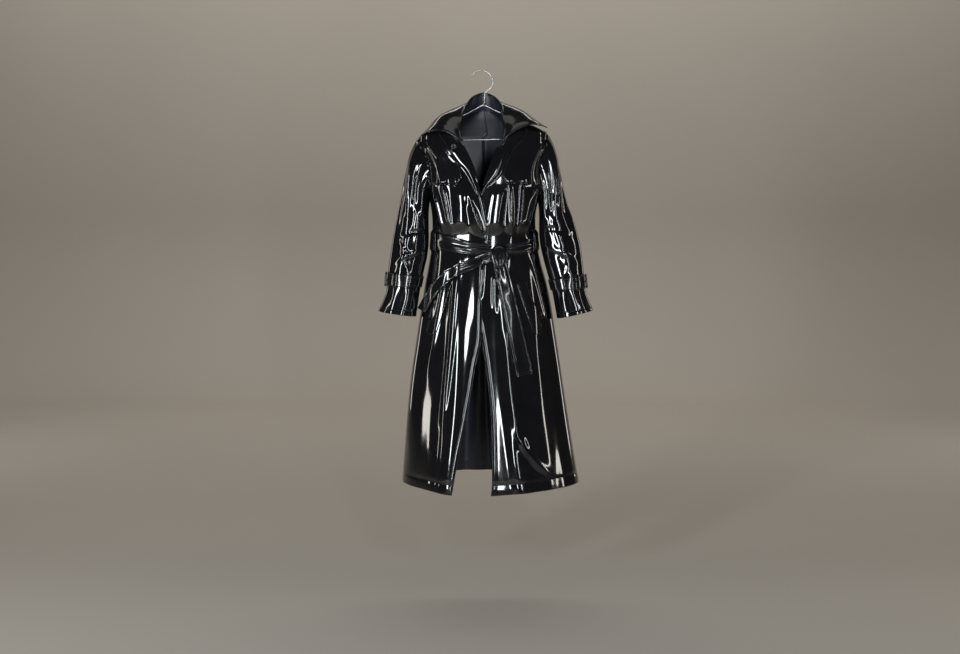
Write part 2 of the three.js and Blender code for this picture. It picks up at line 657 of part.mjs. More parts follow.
// Lapels: each row runs from the folded front edge to the lapel's outer edge.
const lapels = {
  right: table('at edgeZ outX outZ', [
    [0, -232, -103, -264], [0.3, -264, -82, -286], [0.55, -300, -58, -304],
    [0.8, -338, -32, -346], [1, -372, -15, -380],
  ]),
  left: table('at edgeZ outX outZ', [
    [0, -236, 84, -246], [0.3, -262, 72, -284], [0.6, -298, 56, -322], [0.85, -332, 24, -352],
    [1, -350, 13, -358],
  ]),
};
const lapelHeight = 7; // of the lapel's outer face over the front, in its middle
const lapelEdgeHeight = 3.6; // and at its loose edge

function lapelSurface(name) {
  const half = halves[name];
  const edgePoint = (z) => half.point(turnAt(read(half.edge, 'x', z), z), z);
  return (u, v) => {
    const at = half.sign < 0 ? u : 1 - u;
    const z = read(lapels[name], 'edgeZ', at);
    const x = read(half.edge, 'x', z);
    const face = ringNormal(turnAt(x, z), z);
    const along = edgePoint(z - 2).sub(edgePoint(z + 2)).normalize();
    const over = face.clone().cross(along).multiplyScalar(-half.sign).normalize();
    const point = edgePoint(z).addScaledVector(face, -clothWall / 2);
    if (v < rollShare) return rollPoint({ point, face, over }, v / rollShare);
    const t = (v - rollShare) / (1 - rollShare);
    const outX = THREE.MathUtils.lerp(x, read(lapels[name], 'outX', at), t);
    const outZ = THREE.MathUtils.lerp(z, read(lapels[name], 'outZ', at), t);
    const risen = THREE.MathUtils.lerp(rollRadius - clothWall / 2, lapelHeight, smooth(0, 0.4, t));
    const height = THREE.MathUtils.lerp(risen, lapelEdgeHeight, smooth(0.5, 1, t));
    return half.point(turnAt(outX, outZ), outZ, height);
  };
}

for (const name of Object.keys(halves)) {
  addPiece(`lapel_${name}`, wallOver(lapelSurface(name), {
    rows: 10, columns: 9, lift: -doubleWall, wall: doubleWall, flip: true,
  }));
}

// A strip that lies on the front. Its rows give the middle line, the width and the height over it.
function stripOnFront(rows, point, { wall = doubleWall, steps, columns = 3 }) {
  const middle = (at) => new THREE.Vector2(read(rows, 'x', at), read(rows, 'z', at));
  const surface = (u, v) => {
    const along = middle(v + 0.01).sub(middle(v - 0.01)).normalize();
    const reach = (0.5 - u) * read(rows, 'width', v);
    const x = middle(v).x - along.y * reach;
    const z = middle(v).y + along.x * reach;
    const lift = THREE.MathUtils.lerp(read(rows, 'lift', v), read(rows, 'liftEnd', v), u);
    return point(turnAt(x, z), z, lift);
  };
  return wallOver(surface, { rows: steps, columns, lift: 0, wall });
}

// Pocket welts, slanting down and out, with the lower end rounded
const welts = {
  right: table('at x z width lift liftEnd', [
    [0, -106, -647, 27, 2, 2], [0.9, -149, -786, 30, 2, 2], [0.97, -152, -796, 25, 2, 2],
    [1, -153, -801, 17, 2, 2],
  ]),
  left: table('at x z width lift liftEnd', [
    [0, 120, -645, 27, 1, 1], [0.9, 165, -784, 30, 1, 1], [0.97, 168, -794, 25, 1, 1],
    [1, 169, -799, 17, 1, 1],
  ]),
};
addPiece('pocket_welt_right', stripOnFront(welts.right, rightFrontPoint, { steps: 9 }));
addPiece('pocket_welt_left', stripOnFront(welts.left, coatPoint, { steps: 9 }));

// Belt: one band from the knot's right edge round the back to its left edge
const beltLift = 2.8;
const beltDip = 22; // how far its ends sink to the knot
const beltStart = turnAt(knotX - 22, beltZ);
const beltEnd = 2 * Math.PI + turnAt(knotX + 24, beltZ);

function beltSurface(u, v) {
  const turn = THREE.MathUtils.lerp(beltStart, beltEnd, u);
  const nearKnot = Math.max(1 - smooth(0, 0.2, u), smooth(0.82, 1, u));
  const width = beltWidth - 14 * nearKnot;
  const z = beltZ - beltDip * nearKnot;
  const top = beltHold(turn, z + width / 2);
  return top.lerp(beltHold(turn, z - width / 2), v);
}

// On the right front the belt follows the lapped edge, and elsewhere the coat itself.
function beltHold(turn, z) {
  return turn < Math.PI ? rightFrontPoint(turn, z) : coatPoint(turn, z);
}

addPiece('belt', wallOver(beltSurface, { rows: 3, columns: 46, lift: beltLift, wall: doubleWall }));

const beltTails = {
  short: table('at x z width lift liftEnd', [
    [0, 40, -560, 26, 6.6, 6.6], [0.1, 14, -568, 30, 6.6, 6.6], [0.3, -42, -592, 31, 6, 7],
    [0.5, -88, -613, 30, 5, 9], [0.7, -127, -650, 27, 5, 11], [0.85, -154, -690, 23, 5, 12],
    [1, -176, -730, 21, 6, 12],
  ]),
  long: table('at x z width lift liftEnd', [
    [0, 53, -588, 36, 11, 11], [0.15, 66, -640, 41, 6, 6], [0.4, 84, -720, 43, 5, 4],
    [0.7, 106, -820, 44, 6, 5], [1, 126, -920, 45, 7, 6],
  ]),
};
addPiece('belt_tail_short', stripOnFront(beltTails.short, rightFrontPoint, { steps: 14 }));
addPiece('belt_tail_long', stripOnFront(beltTails.long, coatPoint, { steps: 14 }));

// The knot: a rounded pad over the belt's ends and the tails' roots
const knotLift = 14.4;

function knotGeometry() {
  const rows = 9;
  const columns = 9;
  const outer = [];
  const inner = [];
  for (let i = 0; i < rows; i += 1) {
    outer.push([]);
    inner.push([]);
    for (let j = 0; j < columns; j += 1) {
      const across = 1 - (2 * j) / (columns - 1);
      const down = (2 * i) / (rows - 1) - 1;
      const narrow = 1 - 0.28 * smooth(-0.2, 1, down);
      const x = knotX + knotHalfWidth * narrow * across * Math.sqrt(1 - (down * down) / 2);
      const z = knotZ - knotHalfHeight * down * Math.sqrt(1 - (across * across) / 2);
      const dome = Math.sqrt(Math.max(0, (1 - across ** 4) * (1 - down ** 4)));
      const turn = turnAt(x, z);
      inner[i].push(coatPoint(turn, z, knotLift));
      outer[i].push(coatPoint(turn, z, knotLift + 2.5 + knotThickness * dome));
    }
  }
  return closedWall(outer, inner);
}

addPiece('belt_knot', knotGeometry());

// One carrier at each side holds the belt
const carriers = [['belt_carrier_right', -143, 1.5], ['belt_carrier_left', 158, 2.2]];
for (const [name, x, endLift] of carriers) {
  const halfHeight = beltWidth / 2 + 13;
  const halfWidth = 7;
  const onCoat = (u, z) => coatPoint(turnAt(x + halfWidth * (1 - 2 * u), z), z);
  const surface = (u, v) => onCoat(u, beltZ + halfHeight).lerp(onCoat(u, beltZ - halfHeight), v);
  addPiece(name, bridge(surface, {
    low: endLift, high: beltLift + doubleWall + 2.4, wall: clothWall, rows: 7, columns: 2,
  }));
}

// The neck button, sewn to the right front below the collar
const button = { x: -85, z: -233, radius: 8.5, thickness: 3, lift: 2 };
{
  const turn = turnAt(button.x, button.z);
  const out = ringNormal(turn, button.z);
  const geometry = new THREE.CylinderGeometry(button.radius, button.radius, button.thickness, 14);
  geometry.rotateX(Math.PI / 2);
  const mesh = addPiece('neck_button', geometry, materials.trim);
  mesh.quaternion.setFromUnitVectors(new THREE.Vector3(0, 0, 1), out);
  mesh.position.copy(coatPoint(turn, button.z, button.lift + button.thickness / 2));
}

// A round wire through points in the XZ plane. A closed one is a ring.
function wireGeometry(points, closed) {
  const sides = 6;
  const count = points.length;
  const rings = points.map((here, i) => {
    const before = points[closed ? (i + count - 1) % count : Math.max(i - 1, 0)];
    const after = points[closed ? (i + 1) % count : Math.min(i + 1, count - 1)];
    const into = here.clone().sub(before).normalize();
    const from = after.clone().sub(here).normalize();
    const along = into.add(from).normalize();
    return Array.from({ length: sides }, (_, k) => {
      const angle = (2 * Math.PI * k) / sides;
      const aside = wireRadius * Math.cos(angle);
      return new THREE.Vector3(
        here.x - along.y * aside, wireRadius * Math.sin(angle), here.y + along.x * aside,
      );
    });
  });
  return closed ? wireRing(rings) : wireRod(rings);
}

function wireSides(rings, spans, faces) {
  const sides = rings[0].length;
  for (let i = 0; i < spans; i += 1) {
    for (let k = 0; k < sides; k += 1) {
      const a = i * sides + k;
      const b = i * sides + ((k + 1) % sides);
      const c = ((i + 1) % rings.length) * sides + ((k + 1) % sides);
      const d = ((i + 1) % rings.length) * sides + k;
      faces.push(a, c, b, a, d, c);
    }
  }
}

function wireRing(rings) {
  const faces = [];
  wireSides(rings, rings.length, faces);
  return new THREE.BufferGeometry().setFromPoints(rings.flat()).setIndex(faces);
}

function wireRod(rings) {
  const faces = [];
  const sides = rings[0].length;
  const last = (rings.length - 1) * sides;
  wireSides(rings, rings.length - 1, faces);
  for (let k = 1; k < sides - 1; k += 1) {
    faces.push(0, k, k + 1, last, last + k + 1, last + k);
  }
  return new THREE.BufferGeometry().setFromPoints(rings.flat()).setIndex(faces);
}

// Points of an arc about a centre, from one angle to another, in degrees.
function arc(centre, radius, from, to, steps) {
  return Array.from({ length: steps + 1 }, (_, i) => {
    const angle = THREE.MathUtils.degToRad(THREE.MathUtils.lerp(from, to, i / steps));
    return new THREE.Vector2(centre.x + radius * Math.cos(angle), centre.y + radius * Math.sin(angle));
  });
}

// Hook: most of a circle, then an easy bend into the shank
const shankX = 7.5;
const shankBottomZ = -96.7;
const hookCentre = new THREE.Vector2(-2, wireRadius - hookRadius);
const hookPoints = [
  ...arc(hookCentre, hookRadius, 172, -28, 14),
  new THREE.Vector2(22, -56), new THREE.Vector2(12.5, -64), new THREE.Vector2(shankX + 0.6, -70),
  new THREE.Vector2(shankX, -78), new THREE.Vector2(shankX, shankBottomZ),
];
addPiece('hanger_hook', wireGeometry(hookPoints, false), materials.wire);

// Frame: the two arms under the shoulder seams, and the bar that closes them
const peak = new THREE.Vector2(middleX, -98 - hangerArmDrop);
const armSlopes = { right: 0.515, left: 0.465 };
const armEnd = (sign, slope) => new THREE.Vector2(
  peak.x + sign * hangerReach, peak.y - slope * hangerReach,
);
const rightEnd = armEnd(-1, armSlopes.right);
const leftEnd = armEnd(1, armSlopes.left);
const framePoints = [
  new THREE.Vector2(peak.x - 5, peak.y - 1.9), new THREE.Vector2(peak.x + 5, peak.y - 1.7),
  leftEnd.clone().add(new THREE.Vector2(-8, 3.7)), leftEnd.clone().add(new THREE.Vector2(-1.5, -0.8)),
  leftEnd.clone().add(new THREE.Vector2(1, -6)), leftEnd.clone().add(new THREE.Vector2(-1.5, -12.5)),
  leftEnd.clone().add(new THREE.Vector2(-8, -hangerBarDrop)),
  rightEnd.clone().add(new THREE.Vector2(8, -hangerBarDrop)),
  rightEnd.clone().add(new THREE.Vector2(1.5, -12.5)), rightEnd.clone().add(new THREE.Vector2(-1, -6)),
  rightEnd.clone().add(new THREE.Vector2(1.5, -0.8)), rightEnd.clone().add(new THREE.Vector2(8, 3.9)),
];
addPiece('hanger_frame', wireGeometry(framePoints, true), materials.wire);

// The twist that binds the shank to the arms
const twist = { turns: 3, radius: 3.4, groove: 0.8, topZ: -97, bottomZ: -103.2 };
{
  const profile = [new THREE.Vector2(0, twist.bottomZ)];
  const pitch = (twist.topZ - twist.bottomZ) / (2 * twist.turns);
  for (let i = 0; i <= 2 * twist.turns; i += 1) {
    const radius = twist.radius - (i % 2 ? 0 : twist.groove);
    profile.push(new THREE.Vector2(radius, twist.bottomZ + i * pitch));
  }
  profile.push(new THREE.Vector2(0, twist.topZ));
  const geometry = new THREE.LatheGeometry(profile, 10);
  geometry.rotateX(Math.PI / 2);
  const mesh = addPiece('hanger_twist', geometry, materials.wire);
  mesh.position.set(middleX + 1.5, 0, 0);
}

export default coat;
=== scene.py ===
import math
import bpy
import numpy as np
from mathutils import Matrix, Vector


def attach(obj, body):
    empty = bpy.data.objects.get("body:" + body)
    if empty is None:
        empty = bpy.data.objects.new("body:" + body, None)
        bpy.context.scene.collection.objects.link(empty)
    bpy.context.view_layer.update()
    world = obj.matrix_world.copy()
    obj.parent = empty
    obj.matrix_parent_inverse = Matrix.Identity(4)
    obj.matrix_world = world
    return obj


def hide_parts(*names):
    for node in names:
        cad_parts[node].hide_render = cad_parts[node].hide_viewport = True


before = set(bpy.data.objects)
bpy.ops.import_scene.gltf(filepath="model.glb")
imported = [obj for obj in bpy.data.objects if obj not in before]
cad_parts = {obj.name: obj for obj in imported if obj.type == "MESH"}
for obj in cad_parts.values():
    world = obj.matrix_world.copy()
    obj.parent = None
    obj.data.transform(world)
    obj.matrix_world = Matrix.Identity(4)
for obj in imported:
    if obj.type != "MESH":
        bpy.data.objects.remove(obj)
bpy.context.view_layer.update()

# A belted raincoat of glossy coated cloth on a wire hanger. The tables below are in millimetres,
# in the frame's own axes: the front faces -Y and the wearer's right half lies at -X.
mmToM = 0.001
singleWall, doubleWall = 1.5, 2.4  # one layer of cloth, and two sewn together

cut = {
    "seamGap": 0.4, "armholeGap": 0.7, "overlapLift": 5, "overlapWidth": 95, "rollRadius": 5,
    "backNeckZ": -118, "neckPointZ": -131, "underarmZ": -400, "waistEndZ": -600, "hemZ": -1268,
    "frontHemDrop": 15, "armholeDip": math.radians(31),
}


def table(heading, rows):
    names = heading.split()
    values = np.array(rows, float)
    made = {name: values[:, i] for i, name in enumerate(names)}
    made["key"] = names[0]
    return made


# Reads a column on curves that never overshoot a row
def readTable(rows, column, at):
    keys, values = rows[rows["key"]], rows[column]
    at = np.asarray(at, float)
    if keys[0] > keys[-1]:
        keys, at = -keys, -at
    width = np.diff(keys)
    slope = np.diff(values) / width
    tangent = np.concatenate([slope[:1], np.zeros(len(keys) - 2), slope[-1:]])
    both = slope[:-1] + slope[1:]
    same = slope[:-1] * slope[1:] > 0
    tangent[1:-1] = np.where(same, 2 * slope[:-1] * slope[1:] / np.where(both == 0, 1, both), 0)
    i = np.clip(np.searchsorted(keys, at, side="right") - 1, 0, len(keys) - 2)
    s = (at - keys[i]) / width[i]
    a = s * s * (3 - 2 * s)
    inside = values[i] * (1 - a) + values[i + 1] * a + width[i] * (
        tangent[i] * s * (1 - s) ** 2 - tangent[i + 1] * s * s * (1 - s))
    before = values[i] + slope[i] * s * width[i]
    after = values[i + 1] + slope[i] * (s - 1) * width[i]
    return np.where(s < 0, before, np.where(s > 1, after, inside))


# Reads a column on straight lines, for the flat cuts
def readStraight(rows, column, at):
    order = np.argsort(rows[rows["key"]])
    return np.interp(at, rows[rows["key"]][order], rows[column][order])


def smooth(low, high, value):
    t = np.clip((np.asarray(value, float) - low) / (high - low), 0, 1)
    return t * t * (3 - 2 * t)


def lerp(a, b, t):
    return a + (b - a) * t


def unit(vectors):
    return vectors / np.maximum(np.linalg.norm(vectors, axis=-1, keepdims=True), 1e-9)


def points(x, y, z):
    return np.stack(np.broadcast_arrays(np.asarray(x, float), y, z), -1)


rightEdge = table("z x", [
    (-98, 5), (-150, -96), (-190, -173.6), (-197, -187), (-225, -188), (-260, -184), (-320, -174),
    (-400, -160), (-460, -154), (-520, -155), (-580, -163), (-650, -176), (-720, -188), (-800, -201),
    (-950, -222), (-1100, -237), (-1300, -252)])
leftEdge = table("z x", [
    (-98, 5), (-150, 116.8), (-180, 181.3), (-187, 196.4), (-225, 199), (-260, 196), (-320, 187),
    (-400, 172), (-460, 166), (-520, 170), (-580, 181), (-650, 200), (-720, 215), (-800, 228),
    (-950, 251), (-1100, 274), (-1300, 310)])
depths = table("z front back square", [
    (-110, 28, 49, 2.2), (-135, 42, 52, 2.2), (-160, 54, 58, 2.3), (-194, 66, 66, 2.5),
    (-250, 80, 74, 2.6), (-320, 92, 82, 2.5), (-400, 98, 87, 2.4), (-460, 95, 84, 2.4),
    (-520, 88, 78, 2.3), (-580, 98, 90, 2.2), (-650, 112, 106, 2.1), (-800, 134, 130, 2.05),
    (-950, 150, 147, 2), (-1100, 163, 159, 2), (-1300, 176, 171, 2)])
rightFrontEdge = table("z x", [
    (-131, -57), (-140, -72), (-160, -81), (-190, -77), (-223, -63), (-252, -48), (-296, -28),
    (-367, -8), (-400, 4), (-450, 14), (-503, 23), (-560, 12), (-600, 3), (-700, -1), (-800, -2),
    (-890, -19), (-985, -35), (-1065, -51), (-1145, -67), (-1290, -91)])
leftFrontEdge = table("z x", [
    (-131, 71), (-140, 84), (-160, 86), (-190, 81), (-215, 73), (-234, 52), (-272, 34),
    (-320, 16), (-367, 0), (-400, -20), (-450, -34), (-520, -40), (-620, -36), (-720, -18),
    (-800, -3), (-848, 5), (-925, 16), (-985, 23), (-1065, 29), (-1225, 31), (-1290, 27)])

# The coat's large folds, as in the solids. Face is 1 in front and -1 behind. A power of 1 makes a
# rounded ridge and 2 a flat-topped one, which takes the photograph's wide streaks.
largeFolds = table("face x0 z0 x1 z1 height width bow run power", [
    (1, -152, -345, -112, -500, 8, 17, 3, 0, 1), (1, -122, -330, -92, -500, 6, 13, 0, 0, 1),
    (1, -72, -345, -66, -498, 6, 20, 0, 0, 2), (1, -42, -395, -8, -505, 6, 12, 2, 0, 1),
    (1, 60, -340, 34, -505, 6, 20, -3, 0, 2), (1, 92, -335, 84, -500, 6, 12, 2, 0, 1),
    (1, 128, -330, 118, -498, 6, 14, 0, 0, 1), (1, 174, -360, 132, -500, 8, 18, 0, 0, 1),
    (1, -78, -560, -114, -1290, 11, 26, 6, 1, 2), (1, -128, -560, -176, -1000, 7, 24, 0, 0, 1),
    (1, -30, -560, -44, -800, -5, 20, 0, 0, 1), (1, 72, -620, 128, -1290, 11, 28, -12, 1, 2),
    (1, 132, -560, 190, -1050, 7, 26, 0, 0, 1), (1, 170, -700, 236, -1290, -8, 30, 0, 1, 1),
    (1, -160, -900, -196, -1290, -7, 30, 0, 1, 1), (-1, -100, -560, -150, -1290, 12, 30, 0, 1, 1),
    (-1, -40, -570, -52, -1290, 9, 26, 0, 1, 1), (-1, 36, -565, 62, -1290, 12, 30, 4, 1, 1),
    (-1, 112, -560, 176, -1290, 10, 28, 0, 1, 1), (-1, -120, -300, -96, -500, 7, 18, 0, 0, 1),
    (-1, -30, -330, -24, -500, 7, 16, 0, 0, 1), (-1, 44, -320, 40, -500, 7, 17, 0, 0, 1),
    (-1, 128, -310, 104, -500, 7, 18, 0, 0, 1)])

# Creases: sharper and of uneven length, depth and spacing
creases = table("face x0 z0 x1 z1 height width bow run power", [
    (1, -160, -318, -113, -512, 4.5, 6.5, 4, 0, 1), (1, -129, -300, -90, -514, 4.2, 5.5, 3, 0, 1),
    (1, -43, -372, 0, -516, 4.4, 5, 3, 0, 1), (1, -25, -428, 5, -512, 3.4, 4.6, 2, 0, 1),
    (1, 89, -308, 91, -515, 4.5, 4.6, -2, 0, 1), (1, 125, -310, 108, -515, 4.4, 5, 3, 0, 1),
    (1, 180, -330, 130, -515, 5, 6.5, -4, 0, 1), (1, -74, -532, -130, -1130, 5, 11, 8, 0, 2),
    (1, -96, -540, -172, -945, 3.6, 9, 4, 0, 1), (1, 2, -556, -8, -716, 3.2, 5.5, 2, 0, 1),
    (1, 41, -575, 38, -748, 4.8, 8, -2, 0, 2), (1, 70, -770, 112, -1140, 4.6, 10, -6, 0, 1),
    (1, 108, -1090, 214, -1236, 6, 13, -14, 0, 1), (1, 146, -548, 210, -800, 3.4, 9, 0, 0, 1),
    (-1, -146, -300, -112, -512, 4.5, 7, 0, 0, 1), (-1, -92, -290, -74, -514, 4, 6, 0, 0, 1),
    (-1, -62, -340, -52, -515, -3, 7, 0, 0, 1), (-1, -26, -300, -22, -516, 4.6, 8, 0, 0, 1),
    (-1, 2, -350, 6, -514, -3, 7, 0, 0, 1), (-1, 36, -300, 34, -515, 4.4, 7, 0, 0, 1),
    (-1, 70, -330, 62, -514, -3, 7, 0, 0, 1), (-1, 98, -300, 86, -515, 4.2, 6, 0, 0, 1),
    (-1, 148, -320, 120, -514, 4.6, 8, 0, 0, 1), (-1, -122, -360, -100, -512, -2.6, 6, 0, 0, 1),
    (-1, -132, -540, -196, -1100, 4, 12, 0, 0, 1), (-1, -96, -536, -128, -900, 3.6, 9, 0, 0, 1),
    (-1, -66, -540, -84, -1150, 4.4, 12, 4, 0, 1), (-1, -36, -538, -44, -760, 3, 8, 0, 0, 1),
    (-1, -8, -540, -10, -1080, -3.2, 12, 0, 0, 1), (-1, 30, -536, 44, -880, 3.6, 9, 0, 0, 1),
    (-1, 62, -540, 92, -1160, 4.4, 12, 0, 0, 1), (-1, 96, -538, 138, -800, 3.2, 9, 0, 0, 1),
    (-1, 128, -542, 204, -1120, 4, 12, 0, 0, 1), (-1, -160, -560, -210, -900, 3, 10, 0, 0, 1),
    (-1, 156, -560, 226, -940, 3, 10, 0, 0, 1), (-1, 14, -1000, 20, -1290, 4, 16, 0, 1, 1)])


def section(z, read=readTable):
    left, right = read(leftEdge, "x", z), read(rightEdge, "x", z)
    return {"middle": (left + right) / 2, "half": (left - right) / 2,
            **{name: read(depths, name, z) for name in ("front", "back", "square")}}


# A point of the plain section. A turn of 0 is the left side and a quarter is the front.
def ringPoint(turn, z, s=None):
    turn, z = np.broadcast_arrays(np.asarray(turn, float), np.asarray(z, float))
    s = s or section(z)
    across, forward = np.cos(turn), np.sin(turn)
    reach = (np.abs(across) ** s["square"] + np.abs(forward) ** s["square"]) ** (-1 / s["square"])
    depth = np.where(forward > 0, s["front"], s["back"])
    return points(s["middle"] + s["half"] * across * reach, -depth * forward * reach, z)


def ringNormal(turn, z, s=None):
    turn, z = np.broadcast_arrays(np.asarray(turn, float), np.asarray(z, float))
    s = s or section(z)
    along = ringPoint(turn + 0.01, z, s) - ringPoint(turn - 0.01, z, s)
    return unit(points(-along[..., 1], along[..., 0], 0))


def turnAt(x, z, face=1, s=None):
    s = s or section(z)
    across = np.clip((x - s["middle"]) / s["half"], -0.9999, 0.9999)
    forward = (1 - np.abs(across) ** s["square"]) ** (1 / s["square"])
    turn = np.arctan2(forward, across)
    return turn if face > 0 else 2 * math.pi - turn


def foldSum(turn, z, folds, s=None):
    turn, z = np.broadcast_arrays(np.asarray(turn, float), np.asarray(z, float))
    s = s or section(z)
    here = ringPoint(turn, z, s)
    total = np.zeros(here.shape[:-1])
    names = ("face", "x0", "z0", "x1", "z1", "height", "width", "bow", "run", "power")
    for face, x0, z0, x1, z1, height, width, bow, run, power in zip(*(folds[n] for n in names)):
        part = (z0 - here[..., 2]) / (z0 - z1)
        sameSide = here[..., 1] * face < 30
        near = (part > 0) & (part < 1) & sameSide
        if not near.any():
            continue
        p, zs = part[near], here[..., 2][near]
        x = lerp(x0, x1, p) + bow * np.sin(math.pi * p)
        level = {name: values[near] for name, values in s.items()}
        crest = ringPoint(turnAt(x, zs, face, level), zs, level)
        slant = (z0 - z1) / math.hypot(x1 - x0, z0 - z1)
        gap = ((here[near] - crest) ** 2).sum(-1) * slant ** 2
        ends = smooth(0, 0.3, p) * (1 if run else 1 - smooth(0.7, 1, p))
        total[near] += height * ends * np.exp(-(gap / width ** 2) ** power)
    return total


# Slow unevenness of hanging cloth, from a few crossing waves
waves = table("x y z phase height", [
    (0.052, 0.031, 0.005, 0.4, 0.3), (-0.041, 0.049, 0.008, 1.9, 0.28), (0.018, -0.027, 0.017, 3.1, 0.3),
    (0.088, 0.061, -0.009, 5.2, 0.08), (-0.093, 0.055, 0.012, 2.4, 0.07), (0.031, 0.017, -0.028, 0.9, 0.12)])


def unevenness(p, scale=1.0):
    total = 0
    for i in range(len(waves["x"])):
        inner = p[..., 0] * waves["x"][i] + p[..., 1] * waves["y"][i] + p[..., 2] * waves["z"][i]
        total = total + waves["height"][i] * np.sin(inner + waves["phase"][i])
    return scale * total


# The share of the large folds that the shells take in front, where the cloth hangs smoother than
# the solids, above and below the belt
foldLook = {"bodice": 0.8, "skirt": 0.42, "back": 1.0, "creases": 0.75}


def foldShare(turn, z):
    front = smooth(0, 0.5, np.sin(turn))
    level = lerp(foldLook["skirt"], foldLook["bodice"], smooth(-600, -520, z))
    return lerp(foldLook["back"], level, front)


def coatPoint(turn, z, out=0):
    turn, z = np.broadcast_arrays(np.asarray(turn, float), np.asarray(z, float))
    s = section(z)
    base = ringPoint(turn, z, s)
    height = foldShare(turn, z) * foldSum(turn, z, largeFolds, s)
    height = height + foldLook["creases"] * foldSum(turn, z, creases, s) + unevenness(base) + out
    return base + ringNormal(turn, z, s) * np.asarray(height)[..., None]


def overlapAt(x, z):
    fromEdge = readTable(rightFrontEdge, "x", z) - x
    ends = np.where(fromEdge > 0, smooth(cut["overlapWidth"], 20, fromEdge), smooth(-110, -60, fromEdge))
    return cut["overlapLift"] * smooth(-340, -400, z) * ends


def rightFrontPoint(turn, z, out=0):
    return coatPoint(turn, z, out + overlapAt(ringPoint(turn, z)[..., 0], z))


# The outward direction of a surface, from small steps along it both ways
def facing(surface, u, v, step=0.003):
    return unit(np.cross(surface(u + step, v) - surface(u - step, v),
                         surface(u, v + step) - surface(u, v - step)))


# Outward directions of a grid of points, from its own rows and columns
def gridNormals(grid, wrap=False, flip=False):
    if wrap:
        wide = np.concatenate([grid[:, -1:], grid, grid[:, :1]], 1)
        alongU = wide[:, 2:] - wide[:, :-2]
    else:
        alongU = np.gradient(grid, axis=1)
    alongV = np.gradient(grid, axis=0)
    return unit(np.cross(alongU, alongV)) * (-1 if flip else 1)


def evenly(count, fine=()):
    fine = np.array(fine, float)
    return np.unique(np.concatenate([np.linspace(0, 1, count), fine, 1 - fine]).round(6))


def makeMesh(name, verts, faces, materials, faceMaterials=None):
    mesh = bpy.data.meshes.new(name)
    mesh.vertices.add(len(verts))
    mesh.vertices.foreach_set("co", (np.asarray(verts, np.float32) * mmToM).ravel())
    sizes = np.array([len(f) for f in faces])
    flat = np.concatenate([np.asarray(f) for f in faces])
    mesh.loops.add(len(flat))
    mesh.loops.foreach_set("vertex_index", flat.astype(np.int32))
    mesh.polygons.add(len(sizes))
    mesh.polygons.foreach_set("loop_start", np.concatenate([[0], np.cumsum(sizes)[:-1]]).astype(np.int32))
    mesh.polygons.foreach_set("use_smooth", np.ones(len(sizes), bool))
    for material in materials:
        mesh.materials.append(material)
    if faceMaterials is not None:
        mesh.polygons.foreach_set("material_index", faceMaterials.astype(np.int32))
    mesh.update(calc_edges=True)
    mesh.validate()
    piece = bpy.data.objects.new(name, mesh)
    bpy.context.scene.collection.objects.link(piece)
    return piece


# A closed wall with a rounded rim: outer points, inner points, and one row half way round the edge
def clothWall(name, outer, thickness, materials, wrap=False, flip=False, normals=None, rim=0.55):
    normals = gridNormals(outer, wrap, flip) if normals is None else normals
    thick = np.broadcast_to(np.asarray(thickness, float), outer.shape[:2])[..., None]
    inner = outer - normals * thick
    middle = (outer + inner) / 2

    def padRows(m, t):
        first = m[:1] + unit(m[:1] - m[1:2]) * t[:1] * rim
        last = m[-1:] + unit(m[-1:] - m[-2:-1]) * t[-1:] * rim
        return np.concatenate([first, m, last], 0)

    ring = padRows(middle, thick)
    if not wrap:
        tall = np.concatenate([thick[:1], thick, thick[-1:]], 0)
        first = ring[:, :1] + unit(ring[:, :1] - ring[:, 1:2]) * tall[:, :1] * rim
        last = ring[:, -1:] + unit(ring[:, -1:] - ring[:, -2:-1]) * tall[:, -1:] * rim
        ring = np.concatenate([first, ring, last], 1)
    inside = (slice(1, -1), slice(None)) if wrap else (slice(1, -1), slice(1, -1))
    full = ring.copy()
    full[inside] = outer
    rows, columns = full.shape[:2]
    ids = np.arange(rows * columns).reshape(rows, columns)
    innerIds = ids.copy()
    innerIds[inside] = rows * columns + np.arange(outer.shape[0] * outer.shape[1]).reshape(outer.shape[:2])

    def quads(grid):
        if wrap:
            grid = np.concatenate([grid, grid[:, :1]], 1)
        return np.stack([grid[:-1, :-1], grid[:-1, 1:], grid[1:, 1:], grid[1:, :-1]], -1).reshape(-1, 4)

    outside, within = quads(ids), quads(innerIds)
    if flip:
        outside = outside[:, ::-1]
    else:
        within = within[:, ::-1]
    faces = np.concatenate([outside, within])
    verts = np.concatenate([full.reshape(-1, 3), inner.reshape(-1, 3)])
    slots = np.concatenate([np.zeros(len(outside)), np.ones(len(within)) * (len(materials) > 1)])
    return makeMesh(name, verts, faces, materials, slots)


def newMaterial(name):
    material = bpy.data.materials.new(name)
    material.use_nodes = True
    nodes, links = material.node_tree.nodes, material.node_tree.links
    return material, nodes, links, nodes["Principled BSDF"]


